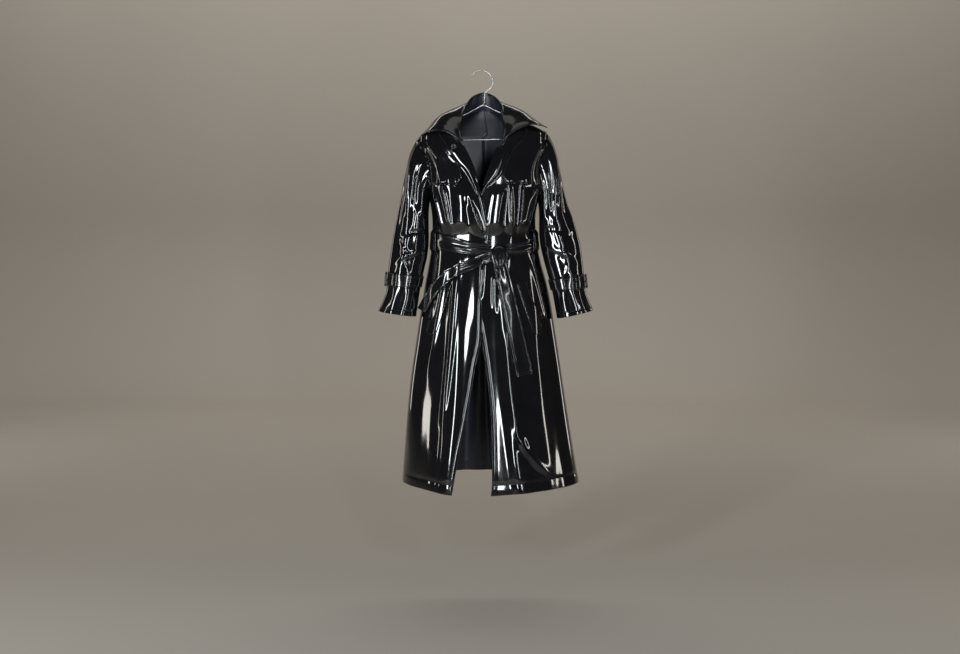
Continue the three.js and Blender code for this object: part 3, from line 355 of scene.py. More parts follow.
# Slow waviness, fine orange peel and faint dull patches, used by every glossy coated material
def makeCoatedSurface():
    group = bpy.data.node_groups.new("coatedSurface", "ShaderNodeTree")
    face = group.interface
    for name, value in (("Peel Scale", 900.0), ("Wave Scale", 28.0), ("Base Roughness", 0.09)):
        face.new_socket(name=name, in_out="INPUT", socket_type="NodeSocketFloat").default_value = value
    for name in ("Height", "Roughness", "Dust"):
        face.new_socket(name=name, in_out="OUTPUT", socket_type="NodeSocketFloat")
    nodes, links = group.nodes, group.links
    entry, leave = nodes.new("NodeGroupInput"), nodes.new("NodeGroupOutput")
    place = nodes.new("ShaderNodeTexCoord")
    peel, wave, haze = (nodes.new("ShaderNodeTexNoise") for _ in range(3))
    for noise in (peel, wave, haze):
        links.new(place.outputs["Object"], noise.inputs["Vector"])
    links.new(entry.outputs["Peel Scale"], peel.inputs["Scale"])
    links.new(entry.outputs["Wave Scale"], wave.inputs["Scale"])
    peel.inputs["Detail"].default_value = 2
    wave.inputs["Detail"].default_value = 3
    haze.inputs["Scale"].default_value = 11
    haze.inputs["Detail"].default_value = 5
    peelHeight = nodes.new("ShaderNodeMath")
    peelHeight.operation = "MULTIPLY"
    peelHeight.inputs[1].default_value = 0.035
    links.new(peel.outputs["Fac"], peelHeight.inputs[0])
    sumHeight = nodes.new("ShaderNodeMath")
    sumHeight.operation = "ADD"
    links.new(peelHeight.outputs[0], sumHeight.inputs[0])
    links.new(wave.outputs["Fac"], sumHeight.inputs[1])
    links.new(sumHeight.outputs[0], leave.inputs["Height"])
    spread = nodes.new("ShaderNodeMapRange")
    spread.inputs["From Min"].default_value = 0.35
    spread.inputs["From Max"].default_value = 0.75
    spread.inputs["To Max"].default_value = 0.05
    links.new(haze.outputs["Fac"], spread.inputs["Value"])
    rough = nodes.new("ShaderNodeMath")
    rough.operation = "ADD"
    links.new(entry.outputs["Base Roughness"], rough.inputs[0])
    links.new(spread.outputs["Result"], rough.inputs[1])
    links.new(rough.outputs[0], leave.inputs["Roughness"])
    links.new(haze.outputs["Fac"], leave.inputs["Dust"])
    return group


coatedSurface = makeCoatedSurface()


def glossyCloth(name, look):
    material, nodes, links, shader = newMaterial(name)
    surface = nodes.new("ShaderNodeGroup")
    surface.node_tree = coatedSurface
    surface.inputs["Peel Scale"].default_value = look["peelScale"]
    surface.inputs["Wave Scale"].default_value = look["waveScale"]
    surface.inputs["Base Roughness"].default_value = look["roughness"]
    shade = nodes.new("ShaderNodeMix")
    shade.data_type = "RGBA"
    shade.inputs["A"].default_value = (*look["colour"], 1)
    shade.inputs["B"].default_value = (*look["dustColour"], 1)
    links.new(surface.outputs["Dust"], shade.inputs["Factor"])
    links.new(shade.outputs["Result"], shader.inputs["Base Color"])
    links.new(surface.outputs["Roughness"], shader.inputs["Roughness"])
    bump = nodes.new("ShaderNodeBump")
    bump.inputs["Strength"].default_value = look["bump"]
    bump.inputs["Distance"].default_value = look["bumpDistance"]
    links.new(surface.outputs["Height"], bump.inputs["Height"])
    links.new(bump.outputs["Normal"], shader.inputs["Normal"])
    shader.inputs["IOR"].default_value = 1.5
    shader.inputs["Coat Weight"].default_value = look["coat"]
    shader.inputs["Coat Roughness"].default_value = look["coatRoughness"]
    return material


clothLooks = {
    "body": {"colour": (0.0035, 0.0035, 0.0045), "dustColour": (0.009, 0.009, 0.011), "roughness": 0.05,
             "peelScale": 900, "waveScale": 15, "bump": 0.3, "bumpDistance": 0.0004, "coat": 0.6,
             "coatRoughness": 0.03},
    "collar": {"colour": (0.004, 0.004, 0.005), "dustColour": (0.012, 0.012, 0.013), "roughness": 0.16,
               "peelScale": 700, "waveScale": 34, "bump": 0.35, "bumpDistance": 0.0005, "coat": 0.5,
               "coatRoughness": 0.05},
    "belt": {"colour": (0.004, 0.004, 0.005), "dustColour": (0.01, 0.01, 0.012), "roughness": 0.13,
             "peelScale": 800, "waveScale": 60, "bump": 0.4, "bumpDistance": 0.0005, "coat": 0.6,
             "coatRoughness": 0.04},
}
vinyl = glossyCloth("glossyCoatedCloth", clothLooks["body"])
collarVinyl = glossyCloth("collarCoatedCloth", clothLooks["collar"])
beltVinyl = glossyCloth("beltCoatedCloth", clothLooks["belt"])


def satinLining():
    look = {"colour": (0.007, 0.008, 0.018), "light": (0.014, 0.017, 0.034), "threads": 1400}
    material, nodes, links, shader = newMaterial("navySatinLining")
    place = nodes.new("ShaderNodeTexCoord")
    warp, weft = (nodes.new("ShaderNodeTexWave") for _ in range(2))
    warp.bands_direction, weft.bands_direction = "X", "Z"
    for wave in (warp, weft):
        wave.inputs["Scale"].default_value = look["threads"]
        wave.inputs["Distortion"].default_value = 0.6
        links.new(place.outputs["Object"], wave.inputs["Vector"])
    weave = nodes.new("ShaderNodeMath")
    weave.operation = "MULTIPLY"
    links.new(warp.outputs["Fac"], weave.inputs[0])
    links.new(weft.outputs["Fac"], weave.inputs[1])
    shade = nodes.new("ShaderNodeMix")
    shade.data_type = "RGBA"
    shade.inputs["A"].default_value = (*look["colour"], 1)
    shade.inputs["B"].default_value = (*look["light"], 1)
    links.new(weave.outputs[0], shade.inputs["Factor"])
    links.new(shade.outputs["Result"], shader.inputs["Base Color"])
    bump = nodes.new("ShaderNodeBump")
    bump.inputs["Strength"].default_value = 0.25
    bump.inputs["Distance"].default_value = 0.0002
    links.new(weave.outputs[0], bump.inputs["Height"])
    links.new(bump.outputs["Normal"], shader.inputs["Normal"])
    shader.inputs["Roughness"].default_value = 0.34
    shader.inputs["Sheen Weight"].default_value = 0.3
    shader.inputs["Sheen Roughness"].default_value = 0.4
    return material


def polished(name, colour, metallic, roughness, scale, bumpStrength):
    material, nodes, links, shader = newMaterial(name)
    place = nodes.new("ShaderNodeTexCoord")
    noise = nodes.new("ShaderNodeTexNoise")
    noise.inputs["Scale"].default_value = scale
    noise.inputs["Detail"].default_value = 5
    links.new(place.outputs["Object"], noise.inputs["Vector"])
    ramp = nodes.new("ShaderNodeMapRange")
    ramp.inputs["To Min"].default_value = roughness * 0.7
    ramp.inputs["To Max"].default_value = roughness * 1.5
    links.new(noise.outputs["Fac"], ramp.inputs["Value"])
    links.new(ramp.outputs["Result"], shader.inputs["Roughness"])
    shade = nodes.new("ShaderNodeMix")
    shade.data_type = "RGBA"
    shade.inputs["A"].default_value = (*[c * 0.82 for c in colour], 1)
    shade.inputs["B"].default_value = (*colour, 1)
    links.new(noise.outputs["Fac"], shade.inputs["Factor"])
    links.new(shade.outputs["Result"], shader.inputs["Base Color"])
    bump = nodes.new("ShaderNodeBump")
    bump.inputs["Strength"].default_value = bumpStrength
    bump.inputs["Distance"].default_value = 0.0003
    links.new(noise.outputs["Fac"], bump.inputs["Height"])
    links.new(bump.outputs["Normal"], shader.inputs["Normal"])
    shader.inputs["Metallic"].default_value = metallic
    return material


lining = satinLining()
thread = polished("waxedThread", (0.05, 0.05, 0.055), 0, 0.35, 900, 0.4)
trimPlastic = polished("polishedTrim", (0.012, 0.012, 0.014), 0, 0.16, 120, 0.15)
wireMetal = polished("brightWire", (0.78, 0.78, 0.77), 1, 0.2, 400, 0.12)

# Flat cuts. The tables give each cloth piece as it is cut, as its widest row, its length and its
# area in millimetres. No mesh is measured for them.
def lengthOf(line):
    return np.linalg.norm(np.diff(line, axis=-2), axis=-1).sum(-1)


def stepsOf(line):
    return np.linalg.norm(np.diff(line, axis=0), axis=-1)


def rowsCut(widths, steps):
    return widths.max(), steps.sum(), ((widths[1:] + widths[:-1]) / 2 * steps).sum()


def ovalGirth(a, b):
    return math.pi * (3 * (a + b) - np.sqrt((3 * a + b) * (a + 3 * b)))


def columnsOf(rows, names, at=None):
    if at is None:
        return np.stack([rows[name] for name in names], -1)
    return np.stack([np.interp(at, rows["at"], rows[name]) for name in names], -1)


def panelCut(side, back=False):
    half = halves[side]
    z = np.linspace(cut["backNeckZ"] if back else cut["neckPointZ"], cut["hemZ"], 240)[:, None]
    s, dip = section(z, readStraight), armholeCut(half, z)
    if back:
        start = 1.5 * math.pi
        end = start + half["sign"] * (math.pi / 2 - dip)
    else:
        start = turnAt(readStraight(half["edge"], "x", z), z, 1, s)
        end = half["sideTurn"] + half["sign"] * dip
    turns = lerp(start, end, np.linspace(0, 1, 400))
    return rowsCut(lengthOf(ringPoint(turns, z, s)), -np.diff(z[:, 0]))


def sleeveCut(side):
    rows = sleeveSections[side]
    outer, inner = (columnsOf(rows, (edge + "X", "middleY", edge + "Z")) for edge in ("outer", "inner"))
    girths = ovalGirth(np.linalg.norm(outer - inner, axis=-1) / 2, rows["depth"])
    widest, _, area = rowsCut(girths, (stepsOf(outer) + stepsOf(inner)) / 2)
    return widest, lengthOf(outer), area


def turnedOver():
    return cut["rollRadius"] * (math.pi / 2 - rollStart)


def leafCut(side):
    roll, edge = (columnsOf(collar, [line + axis for axis in "XYZ"]) for line in ("roll", "edge"))
    middle = (roll + edge) / 2 + points(0, -collar["forward"], collar["puff"])
    t = np.linspace(0, 1, 40)[:, None]
    leaf = [a * (1 - t) ** 2 + b * 2 * t * (1 - t) + c * t * t for a, b, c in zip(roll, middle, edge)]
    deep = lengthOf(np.array(leaf)) + turnedOver()
    deepest, span, area = rowsCut(deep, np.diff(collar["at"]))
    return lengthOf(edge), deepest, (lengthOf(edge) + lengthOf(roll)) / 2 * area / span


def standCut(side):
    at = np.linspace(-standEnd, standEnd, 60)
    roll = columnsOf(collar, ("rollX", "rollY", "rollZ"), at)
    tip = sum(half["tipZ"] for half in halves.values()) / 2
    neckline = np.interp(np.abs(at), (0, neckPoint, standEnd), (cut["backNeckZ"], cut["neckPointZ"], tip))
    tall, length, area = rowsCut(np.maximum(roll[:, 2] - standTopDrop - neckline, 0), stepsOf(roll))
    return length, tall, area


def lapelCut(side):
    rows = lapels[side]
    sewn = points(readStraight(halves[side]["edge"], "x", rows["edgeZ"]), 0, rows["edgeZ"])
    free = points(rows["outX"], 0, rows["outZ"])
    reach = np.linalg.norm(free - sewn, axis=-1) + turnedOver()
    deepest, _, area = rowsCut(reach, (stepsOf(sewn) + stepsOf(free)) / 2)
    return max(lengthOf(sewn), lengthOf(free)), deepest, area


# Along the cloth, which turns away to the side, and not as seen from the front
def stripCut(rows):
    at, across = np.linspace(0, 1, 120), np.linspace(-0.5, 0.5, 16)
    x, z, width = columnsOf(rows, ("x", "z", "width"), at).T[:, :, None]
    along = unit(np.gradient(np.concatenate([x, z], 1), axis=0))
    x, z = x - along[:, 1:] * width * across, z + along[:, :1] * width * across
    s = section(z, readStraight)
    cloth = ringPoint(turnAt(x, z, 1, s), z, s)
    return rowsCut(lengthOf(cloth), stepsOf(cloth[:, len(across) // 2]))


def beltCut(side):
    z = float(beltLook["z"])
    around = lengthOf(ringPoint(np.linspace(0, 2 * math.pi, 1600), z, section(z, readStraight)))
    length = around + 2 * math.pi * beltLook["lift"] - sum(beltLook["underKnot"])
    squeezed = beltLook["squeeze"] * sum(beltLook["squeezeEnds"]) / 2
    return beltLook["width"], length, length * (beltLook["width"] - squeezed)


def strapCut(side):
    found = []
    for rows in sleeveSections.values():
        ends = (strapLook["from"], strapLook["to"])
        outer, inner = (columnsOf(rows, (edge + "X", edge + "Z"), ends) for edge in ("outer", "inner"))
        over = strapLook["lift"] + strapLook["wall"]
        middle = columnsOf(rows, ("outerX", "outerZ", "innerX", "innerZ", "depth"), sum(ends) / 2)
        half = math.dist(middle[:2], middle[2:4]) / 2
        girth = ovalGirth(half + over, middle[4] + over)
        found.append((girth, (lengthOf(outer) + lengthOf(inner)) / 2))
    width, length = np.mean(found, 0)
    return width, length, width * length


def risenLength(length, rise):
    run = 0.16 * length
    return length + 2 * (math.hypot(run, rise) - run)


def loopCut(side):
    around, tall, _ = strapCut(side)
    strap = strapLook["to"] - strapLook["from"]
    length = risenLength(tall * (strap + 2 * loopLook["over"]) / strap, loopLook["high"] - 1)
    width = around * 2 * loopLook["halfTurn"] / 360
    return width, length, width * length


def carrierCut(side):
    z = float(beltLook["z"])
    across = np.linspace(-1, 1, 16) * carrierLook["halfWidth"]
    width = np.mean([lengthOf(ringPoint(turnAt(x + across, z), z)) for x in carrierLook["x"].values()])
    rise = np.mean(list(carrierLook["high"].values())) - carrierLook["low"]
    length = risenLength(2 * carrierLook["reach"], rise)
    return width, length, width * length


# The storm flaps' own sizes, with the share of them that the cut fills
flapCuts = {"right": (120, 175, 0.86), "left": (135, 180, 0.83)}


def flapCut(side):
    width, length, filled = flapCuts[side]
    return width, length, filled * width * length


# How each piece's cut is found, how it is held and what it rests on, where * is its side. The
# last number is the decimals of its length in metres.
sheets = {
    "back": (lambda side: panelCut(side, back=True), "hung", ["hanger_frame"], 3),
    "front": (panelCut, "hung", ["hanger_frame"], 3),
    "storm_flap": (flapCut, "hung", ["frontPanel_*"], 3),
    "sleeve": (sleeveCut, "hung", ["backPanel_*", "frontPanel_*"], 3),
    "collar_leaf": (leafCut, "folded", ["collarStand"], 3),
    "collar_stand": (standCut, "stretched", ["backPanel_left", "backPanel_right"], 3),
    "lapel": (lapelCut, "folded", ["frontPanel_*"], 3),
    "pocket_welt": (lambda side: stripCut(welts[side][0]), "laid", ["frontPanel_*"], 3),
    "belt": (beltCut, "gathered", ["beltCarrier_left", "beltCarrier_right"], 3),
    "belt_tail_short": (lambda side: stripCut(tails["short"][0]), "hung", ["beltKnot"], 3),
    "belt_tail_long": (lambda side: stripCut(tails["long"][0]), "hung", ["beltKnot"], 3),
    "cuff_strap": (strapCut, "stretched", ["sleeveCloth_*"], 4),
    "cuff_loop": (loopCut, "stretched", ["sleeveCloth_*"], 3),
    "belt_carrier": (carrierCut, "stretched", ["frontPanel_*"], 4),
}


def declareSheet(node):
    side = "left" if "left" in node else "right"
    names = [name for name in sheets if node.startswith(name)]
    findCut, held, below, decimals = sheets[max(names, key=len)]
    width, length, area = (float(measure) for measure in findCut(side))
    width, length = round(width * mmToM, 3), round(length * mmToM, decimals)


def sewOn(piece, *nodes, slot="coated_cloth"):
    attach(piece, "root")
    if nodes:
        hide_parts(*nodes)
        if slot == "coated_cloth" and nodes[0] != "belt_knot":
            declareSheet(nodes[0])
    return piece


# Stitches: small pointed grains of thread laid along lines on the cloth
stitchLook = {"length": 3.2, "gap": 1.5, "radius": 0.36}


def stitches(name, lines):
    ring = np.array([(1, 0), (0, 1), (-1, 0), (0, -1)], float)
    verts, faces = [], []
    step = stitchLook["length"] + stitchLook["gap"]
    for line, outwards in lines:
        lengths = np.concatenate([[0], np.cumsum(np.linalg.norm(np.diff(line, axis=0), axis=1))])
        count = int(lengths[-1] // step)
        for k in range(count):
            a, b = k * step, k * step + stitchLook["length"]
            ends = [np.array([np.interp(t, lengths, line[:, i]) for i in range(3)]) for t in (a, b)]
            out = unit(np.array([np.interp((a + b) / 2, lengths, outwards[:, i]) for i in range(3)]))
            along = unit(ends[1] - ends[0])
            side = np.cross(along, out)
            first = len(verts)
            verts.append(ends[0])
            for t in (0.22, 0.78):
                middle = lerp(ends[0], ends[1], t) + out * stitchLook["radius"] * 0.3
                for c, s in ring:
                    verts.append(middle + (side * c + out * s) * stitchLook["radius"])
            verts.append(ends[1])
            for m in range(4):
                n = (m + 1) % 4
                faces.append([first, first + 1 + n, first + 1 + m])
                faces.append([first + 1 + m, first + 1 + n, first + 5 + n, first + 5 + m])
                faces.append([first + 9, first + 5 + m, first + 5 + n])
    piece = makeMesh(name, verts, faces, [thread])
    return sewOn(piece)


# Lines on a grid piece for the stitches: a row or column of a finer grid, lifted off the cloth
def lineOn(surface, us, vs, flip=False, lift=0.1):
    us, vs = np.broadcast_arrays(np.asarray(us, float), np.asarray(vs, float))
    out = facing(surface, us, vs, 0.002) * (-1 if flip else 1)
    return surface(us, vs) + out * lift, out


# Panels
halves = {
    "right": {"sign": -1, "sideTurn": math.pi, "edge": rightFrontEdge, "tipZ": -197,
              "point": rightFrontPoint},
    "left": {"sign": 1, "sideTurn": 0, "edge": leftFrontEdge, "tipZ": -187, "point": coatPoint},
}
rowsOf = {"shoulder": 3, "armhole": 8, "waist": 5, "skirt": 9}
panelRows = sum(rowsOf.values())


def armholeCut(half, z):
    part = (half["tipZ"] - z) / (half["tipZ"] - cut["underarmZ"])
    inside = np.clip(part, 0, 1)
    return cut["armholeDip"] * np.sin(math.pi * inside) ** 0.7


def sideLevel(half, v):
    stops = np.cumsum([0, *rowsOf.values()]) / panelRows
    heights = [cut["neckPointZ"], half["tipZ"], cut["underarmZ"], cut["waistEndZ"], cut["hemZ"]]
    v = np.asarray(v, float)
    beyond = (cut["hemZ"] - cut["waistEndZ"]) / (stops[-1] - stops[-2])
    above = (half["tipZ"] - cut["neckPointZ"]) / (stops[1] - stops[0])
    return np.interp(v, stops, heights) + np.maximum(v - 1, 0) * beyond + np.minimum(v, 0) * above


def frontPanel(half):
    def surface(u, v):
        u, v = np.broadcast_arrays(np.asarray(u, float), np.asarray(v, float))
        toSide = u if half["sign"] < 0 else 1 - u
        z = sideLevel(half, v) - cut["frontHemDrop"] * (1 - toSide) ** 2 * smooth(0.6, 1, v)
        side = half["sideTurn"] + half["sign"] * armholeCut(half, z)
        turn = lerp(turnAt(readTable(half["edge"], "x", z), z), side, toSide)
        return half["point"](turn, z) + np.array([0, -cut["seamGap"] / 2, 0])
    return surface


def backPanel(u, v):
    u, v = np.broadcast_arrays(np.asarray(u, float), np.asarray(v, float))
    g = 2 * u - 1
    rise = (cut["backNeckZ"] - cut["neckPointZ"]) * (1 - g * g) * (1 - smooth(0, 0.2, v))
    z = lerp(sideLevel(halves["right"], v), sideLevel(halves["left"], v), u) + rise
    dip = np.where(g < 0, armholeCut(halves["right"], z), armholeCut(halves["left"], z))
    turn = 1.5 * math.pi + g * (math.pi / 2 - dip)
    return coatPoint(turn, z) + np.array([0, cut["seamGap"] / 2, 0])


# Seams press in a little along the piece's edge, and so do the stitch lines by a hem or front edge
def pressed(grid, us, vs, spots, flip=False, wrap=False):
    normals = gridNormals(grid, wrap, flip)
    height = np.zeros(grid.shape[:2])
    for axis, at, width, depth in spots:
        d = (us[None, :] if axis == "u" else vs[:, None]) - at
        height = height + depth * np.exp(-(d / width) ** 2)
    return grid + normals * height[..., None]


panelLook = {"wall": singleWall, "backColumns": 100, "frontColumns": 120, "rows": 270, "stitchInset": 0.03}
edgeFine = (0.0015, 0.004, 0.008, 0.013, 0.019, 0.025, 0.03, 0.036, 0.043)


def backHalf(half):
    def surface(u, v):
        u, v = np.broadcast_arrays(np.asarray(u, float), np.asarray(v, float))
        g = u - 1 if half["sign"] < 0 else u
        aside = half["sign"] * cut["seamGap"] / 2 * (1 - np.abs(g))
        return backPanel((g + 1) / 2, v) + points(aside, 0, 0)
    return surface


for side, half in halves.items():
    surface = backHalf(half)
    us = evenly(panelLook["backColumns"], edgeFine[:4])
    vs = evenly(panelLook["rows"], (0.0012, 0.003, 0.006, 0.012, 0.016))
    grid = surface(us[None, :], vs[:, None])
    grid = pressed(grid, us, vs, [("u", 0, 0.01, -1.2), ("u", 1, 0.01, -1.2), ("v", 0.984, 0.003, -0.8)])
    sewOn(clothWall(f"backPanel_{side}", grid, panelLook["wall"], [vinyl, lining]), f"back_{side}")
print("back sewn")

for side, half in halves.items():
    surface = frontPanel(half)
    us = evenly(panelLook["frontColumns"], edgeFine)
    vs = evenly(panelLook["rows"], (0.0012, 0.003, 0.006, 0.012, 0.016))
    grid = surface(us[None, :], vs[:, None])
    open_, seam = (0.0, 1.0) if half["sign"] < 0 else (1.0, 0.0)
    inset = panelLook["stitchInset"]
    line = abs(open_ - inset)
    grid = pressed(grid, us, vs, [
        ("u", seam, 0.008, -1.2), ("u", line, 0.0045, -0.9), ("v", 0.984, 0.003, -0.8)])
    sewOn(clothWall(f"frontPanel_{side}", grid, panelLook["wall"], [vinyl, lining]), f"front_{side}")
    ends = np.linspace(0.28, 0.995, 700)
    hem = np.linspace(0.02, 0.98, 200)
    stitches(f"frontStitches_{side}", [
        lineOn(surface, line, ends, lift=-0.5), lineOn(surface, hem, 0.984, lift=-0.4)])
stitches("backHemStitches", [lineOn(backPanel, np.linspace(0.01, 0.99, 400), 0.984, lift=-0.4)])
print("fronts sewn")

# Storm flaps
flapLook = {"firstRow": 2, "lastRow": 9, "openAt": 3 / 13, "sideInset": 0.3 / 13, "lift": 2.3, "droop": 6.5}
flapFolds = {
    "right": table("u0 v0 u1 v1 height width", [
        (0.62, 0.1, 0.42, 0.98, 1.5, 0.05), (0.3, 0.3, 0.16, 1.0, 1.25, 0.045),
        (0.8, 0.2, 0.66, 1.0, -1.0, 0.05), (0.9, 0.3, 0.84, 1.05, 1.5, 0.04),
        (0.5, 0.45, 0.3, 1.05, -0.75, 0.05)]),
    "left": table("u0 v0 u1 v1 height width", [
        (0.2, 0.1, 0.34, 0.95, 1.75, 0.05), (0.7, 0.25, 0.8, 1.0, 1.25, 0.045),
        (0.5, 0.2, 0.58, 1.0, -1.0, 0.06), (0.1, 0.3, 0.14, 1.05, 1.25, 0.04),
        (0.36, 0.5, 0.6, 1.1, 1.0, 0.05)]),
}


# Each crease on a grid piece: how far down it a point lies, and its height there
def creaseBells(folds, u, v):
    names = ("u0", "v0", "u1", "v1", "height", "width")
    for u0, v0, u1, v1, height, width in zip(*(folds[name] for name in names)):
        part = (v - v0) / (v1 - v0)
        yield part, height * np.exp(-((u - lerp(u0, u1, part)) / width) ** 2)


for side, half in halves.items():
    surface = frontPanel(half)
    look = flapLook
    span = (look["openAt"], 1 - look["sideInset"])
    low, high = span if half["sign"] < 0 else (1 - span[1], 1 - span[0])

    def flapSurface(u, v, surface=surface, low=low, high=high, half=half, side=side):
        u, v = np.broadcast_arrays(np.asarray(u, float), np.asarray(v, float))
        toOpen = (1 - u) if half["sign"] < 0 else u
        fu = lerp(low, high, u)
        corner = 0.9 * smooth(0.85, 1, toOpen)
        fv = lerp(look["firstRow"], look["lastRow"] - corner * smooth(0.8, 1, v), v) / panelRows
        out = facing(surface, fu, fv)
        lift = look["lift"] + look["droop"] * smooth(0.55, 1, v) + 1.5 * smooth(0.75, 1, toOpen)
        for part, bell in creaseBells(flapFolds[side], u, v):
            lift = lift + bell * smooth(0, 0.4, part)
        return surface(fu, fv) + out * np.asarray(lift)[..., None]

    us = evenly(80, (0.002, 0.006, 0.012, 0.03, 0.045))
    vs = evenly(110, (0.002, 0.006, 0.012, 0.022, 0.032, 0.04))
    grid = flapSurface(us[None, :], vs[:, None])
    openU = 0.0 if half["sign"] < 0 else 1.0
    line = abs(openU - 0.045)
    grid = pressed(grid, us, vs, [("u", line, 0.012, -0.7), ("v", 0.968, 0.008, -0.7)])
    sewOn(clothWall(f"stormFlap_{side}", grid, singleWall, [vinyl, lining]), f"storm_flap_{side}")
    stitches(f"flapStitches_{side}", [
        lineOn(flapSurface, line, np.linspace(0.1, 0.965, 160), lift=-0.3),
        lineOn(flapSurface, np.linspace(0.05, 0.95, 120), 0.968, lift=-0.3)])
print("storm flaps sewn")

# Sleeves
sleeveSections = {
    "right": table("at innerX innerZ outerX outerZ depth middleY", [
        (0, -160, -401, -187, -198, 50, 0), (0.07, -162, -412, -208, -209, 51, -1),
        (0.16, -163, -428, -222, -243, 52, -3), (0.26, -163, -446, -233, -292, 52, -6),
        (0.36, -163, -470, -244, -348, 51, -9), (0.46, -163, -497, -255, -406, 50, -12),
        (0.56, -164, -530, -267, -468, 49, -15), (0.66, -168, -565, -278, -530, 48, -18),
        (0.76, -176, -600, -286, -585, 46, -21), (0.84, -185, -640, -291, -632, 45, -24),
        (0.9, -191, -672, -294, -668, 46, -26), (1, -203, -750, -320, -733, 50, -30)]),
    "left": table("at innerX innerZ outerX outerZ depth middleY", [
        (0, 172, -401, 196, -188, 50, 0), (0.07, 174, -412, 211, -197, 51, -1),
        (0.16, 175, -428, 226, -232, 52, -3), (0.26, 175, -446, 238, -290, 52, -6),
        (0.36, 175, -470, 250, -350, 51, -9), (0.46, 176, -497, 264, -408, 50, -12),
        (0.56, 180, -532, 286, -466, 49, -15), (0.66, 189, -572, 304, -532, 48, -18),
        (0.76, 200, -612, 312, -592, 46, -21), (0.84, 211, -650, 316, -638, 45, -24),
        (0.9, 218, -682, 320, -674, 46, -26), (1, 230, -756, 343, -730, 50, -30)]),
}
# Folds round the sleeve, in degrees from its outer edge over the front
sleeveFolds = {
    "right": table("turn0 at0 turn1 at1 height width", [
        (35, 0.03, 62, 0.5, 6, 12), (75, 0.04, 88, 0.42, -6, 13), (105, 0.05, 120, 0.4, 6, 12),
        (10, 0.2, 40, 0.7, -5, 14), (150, 0.45, 45, 0.62, -6, 13), (150, 0.6, 30, 0.78, 5, 13),
        (80, 0.5, 70, 0.86, 5, 14), (250, 0.08, 285, 0.5, 6, 14), (220, 0.5, 320, 0.66, -6, 14),
        (230, 0.62, 310, 0.78, 5, 13),
        (48, -0.04, 60, 0.26, 3.4, 6), (62, -0.04, 74, 0.34, -2.8, 6), (78, -0.04, 84, 0.22, 3.2, 5),
        (108, -0.03, 104, 0.24, 3, 5.5), (124, -0.02, 118, 0.28, 2.6, 6),
        (30, -0.04, 44, 0.2, 2.8, 6), (66, 0.24, 72, 0.62, 3.4, 7), (98, 0.3, 96, 0.66, -2.6, 8),
        (52, 0.6, 110, 0.72, -3.2, 6),
        (70, 0.7, 104, 0.82, 2.6, 6), (60, 0.86, 74, 1.04, 3, 8), (98, 0.88, 92, 1.04, -2.6, 8),
        (124, 0.87, 128, 1.04, 2.8, 8), (40, 0.87, 30, 1.04, -2.4, 8), (270, -0.03, 264, 0.3, 3.2, 6),
        (240, -0.03, 246, 0.24, -2.8, 7), (300, -0.04, 290, 0.26, 3, 6), (250, 0.86, 256, 1.04, 2.8, 9),
        (290, 0.86, 296, 1.04, -2.6, 9), (270, 0.4, 262, 0.8, 3, 8)]),
    "left": table("turn0 at0 turn1 at1 height width", [
        (30, 0.04, 58, 0.5, 6, 12), (68, 0.04, 92, 0.46, -6, 13), (100, 0.04, 128, 0.42, 6, 12),
        (15, 0.22, 50, 0.66, -5, 14), (152, 0.42, 50, 0.6, -6, 13), (148, 0.56, 36, 0.76, 5, 13),
        (95, 0.5, 72, 0.86, 5, 13), (255, 0.06, 280, 0.48, 6, 14), (215, 0.5, 325, 0.62, -6, 14),
        (235, 0.6, 305, 0.8, 5, 13),
        (44, -0.04, 62, 0.24, 3.2, 6), (58, -0.04, 76, 0.36, -2.8, 6), (74, -0.04, 96, 0.26, 3.4, 5),
        (106, -0.03, 126, 0.22, 3.2, 5.5), (122, -0.02, 140, 0.26, 2.6, 6),
        (28, -0.04, 40, 0.22, 2.6, 6), (84, 0.26, 78, 0.6, 3.4, 7), (110, 0.28, 102, 0.62, -2.6, 8),
        (48, 0.58, 106, 0.7, -3.2, 6),
        (74, 0.72, 100, 0.82, 2.6, 6), (56, 0.86, 66, 1.04, 3, 8), (92, 0.88, 96, 1.04, -2.6, 8),
        (118, 0.87, 126, 1.04, 2.8, 8), (36, 0.87, 24, 1.04, -2.4, 8), (266, -0.03, 262, 0.3, 3.2, 6),
        (236, -0.03, 242, 0.24, -2.8, 7), (298, -0.04, 292, 0.26, 3, 6), (246, 0.86, 252, 1.04, 2.8, 9),
        (288, 0.86, 294, 1.04, -2.6, 9), (268, 0.4, 260, 0.8, 3, 8)]),
}
armholeBlend = 0.24
sleeveLook = {"narrowShare": 0.5, "elbowShare": 0.5, "narrowUpTo": 9, "elbowFrom": 145}


def armholeSeam(half, turn):
    part = (1 - np.cos(turn)) / 2
    z = lerp(half["tipZ"], cut["underarmZ"], part)
    dip = armholeCut(half, z) * np.where(np.sin(turn) < 0, -1, 1)
    return half["point"](half["sideTurn"] + half["sign"] * dip, z)


seamTurns = np.linspace(0, 2 * math.pi, 721)
seamPoints = {side: armholeSeam(half, seamTurns) for side, half in halves.items()}


def seamAt(side, turn):
    wrapped = np.mod(turn, 2 * math.pi)
    return points(*(np.interp(wrapped, seamTurns, seamPoints[side][:, i]) for i in range(3)))


def sleeveRing(side, turn, at):
    turn, at = np.broadcast_arrays(np.asarray(turn, float), np.asarray(at, float))
    rows, half = sleeveSections[side], halves[side]
    get = {name: readTable(rows, name, at) for name in rows if name not in ("key", "at")}
    inner = points(get["innerX"], get["middleY"], get["innerZ"])
    outer = points(get["outerX"], get["middleY"], get["outerZ"])
    oval = (inner + outer) / 2 + (outer - inner) * (np.cos(turn) / 2)[..., None]
    oval[..., 1] -= get["depth"] * np.sin(turn)
    blend = smooth(0, armholeBlend, at)[..., None]
    seam = seamAt(side, turn)
    seam[..., 0] += half["sign"] * cut["armholeGap"]
    return lerp(seam, oval, blend)


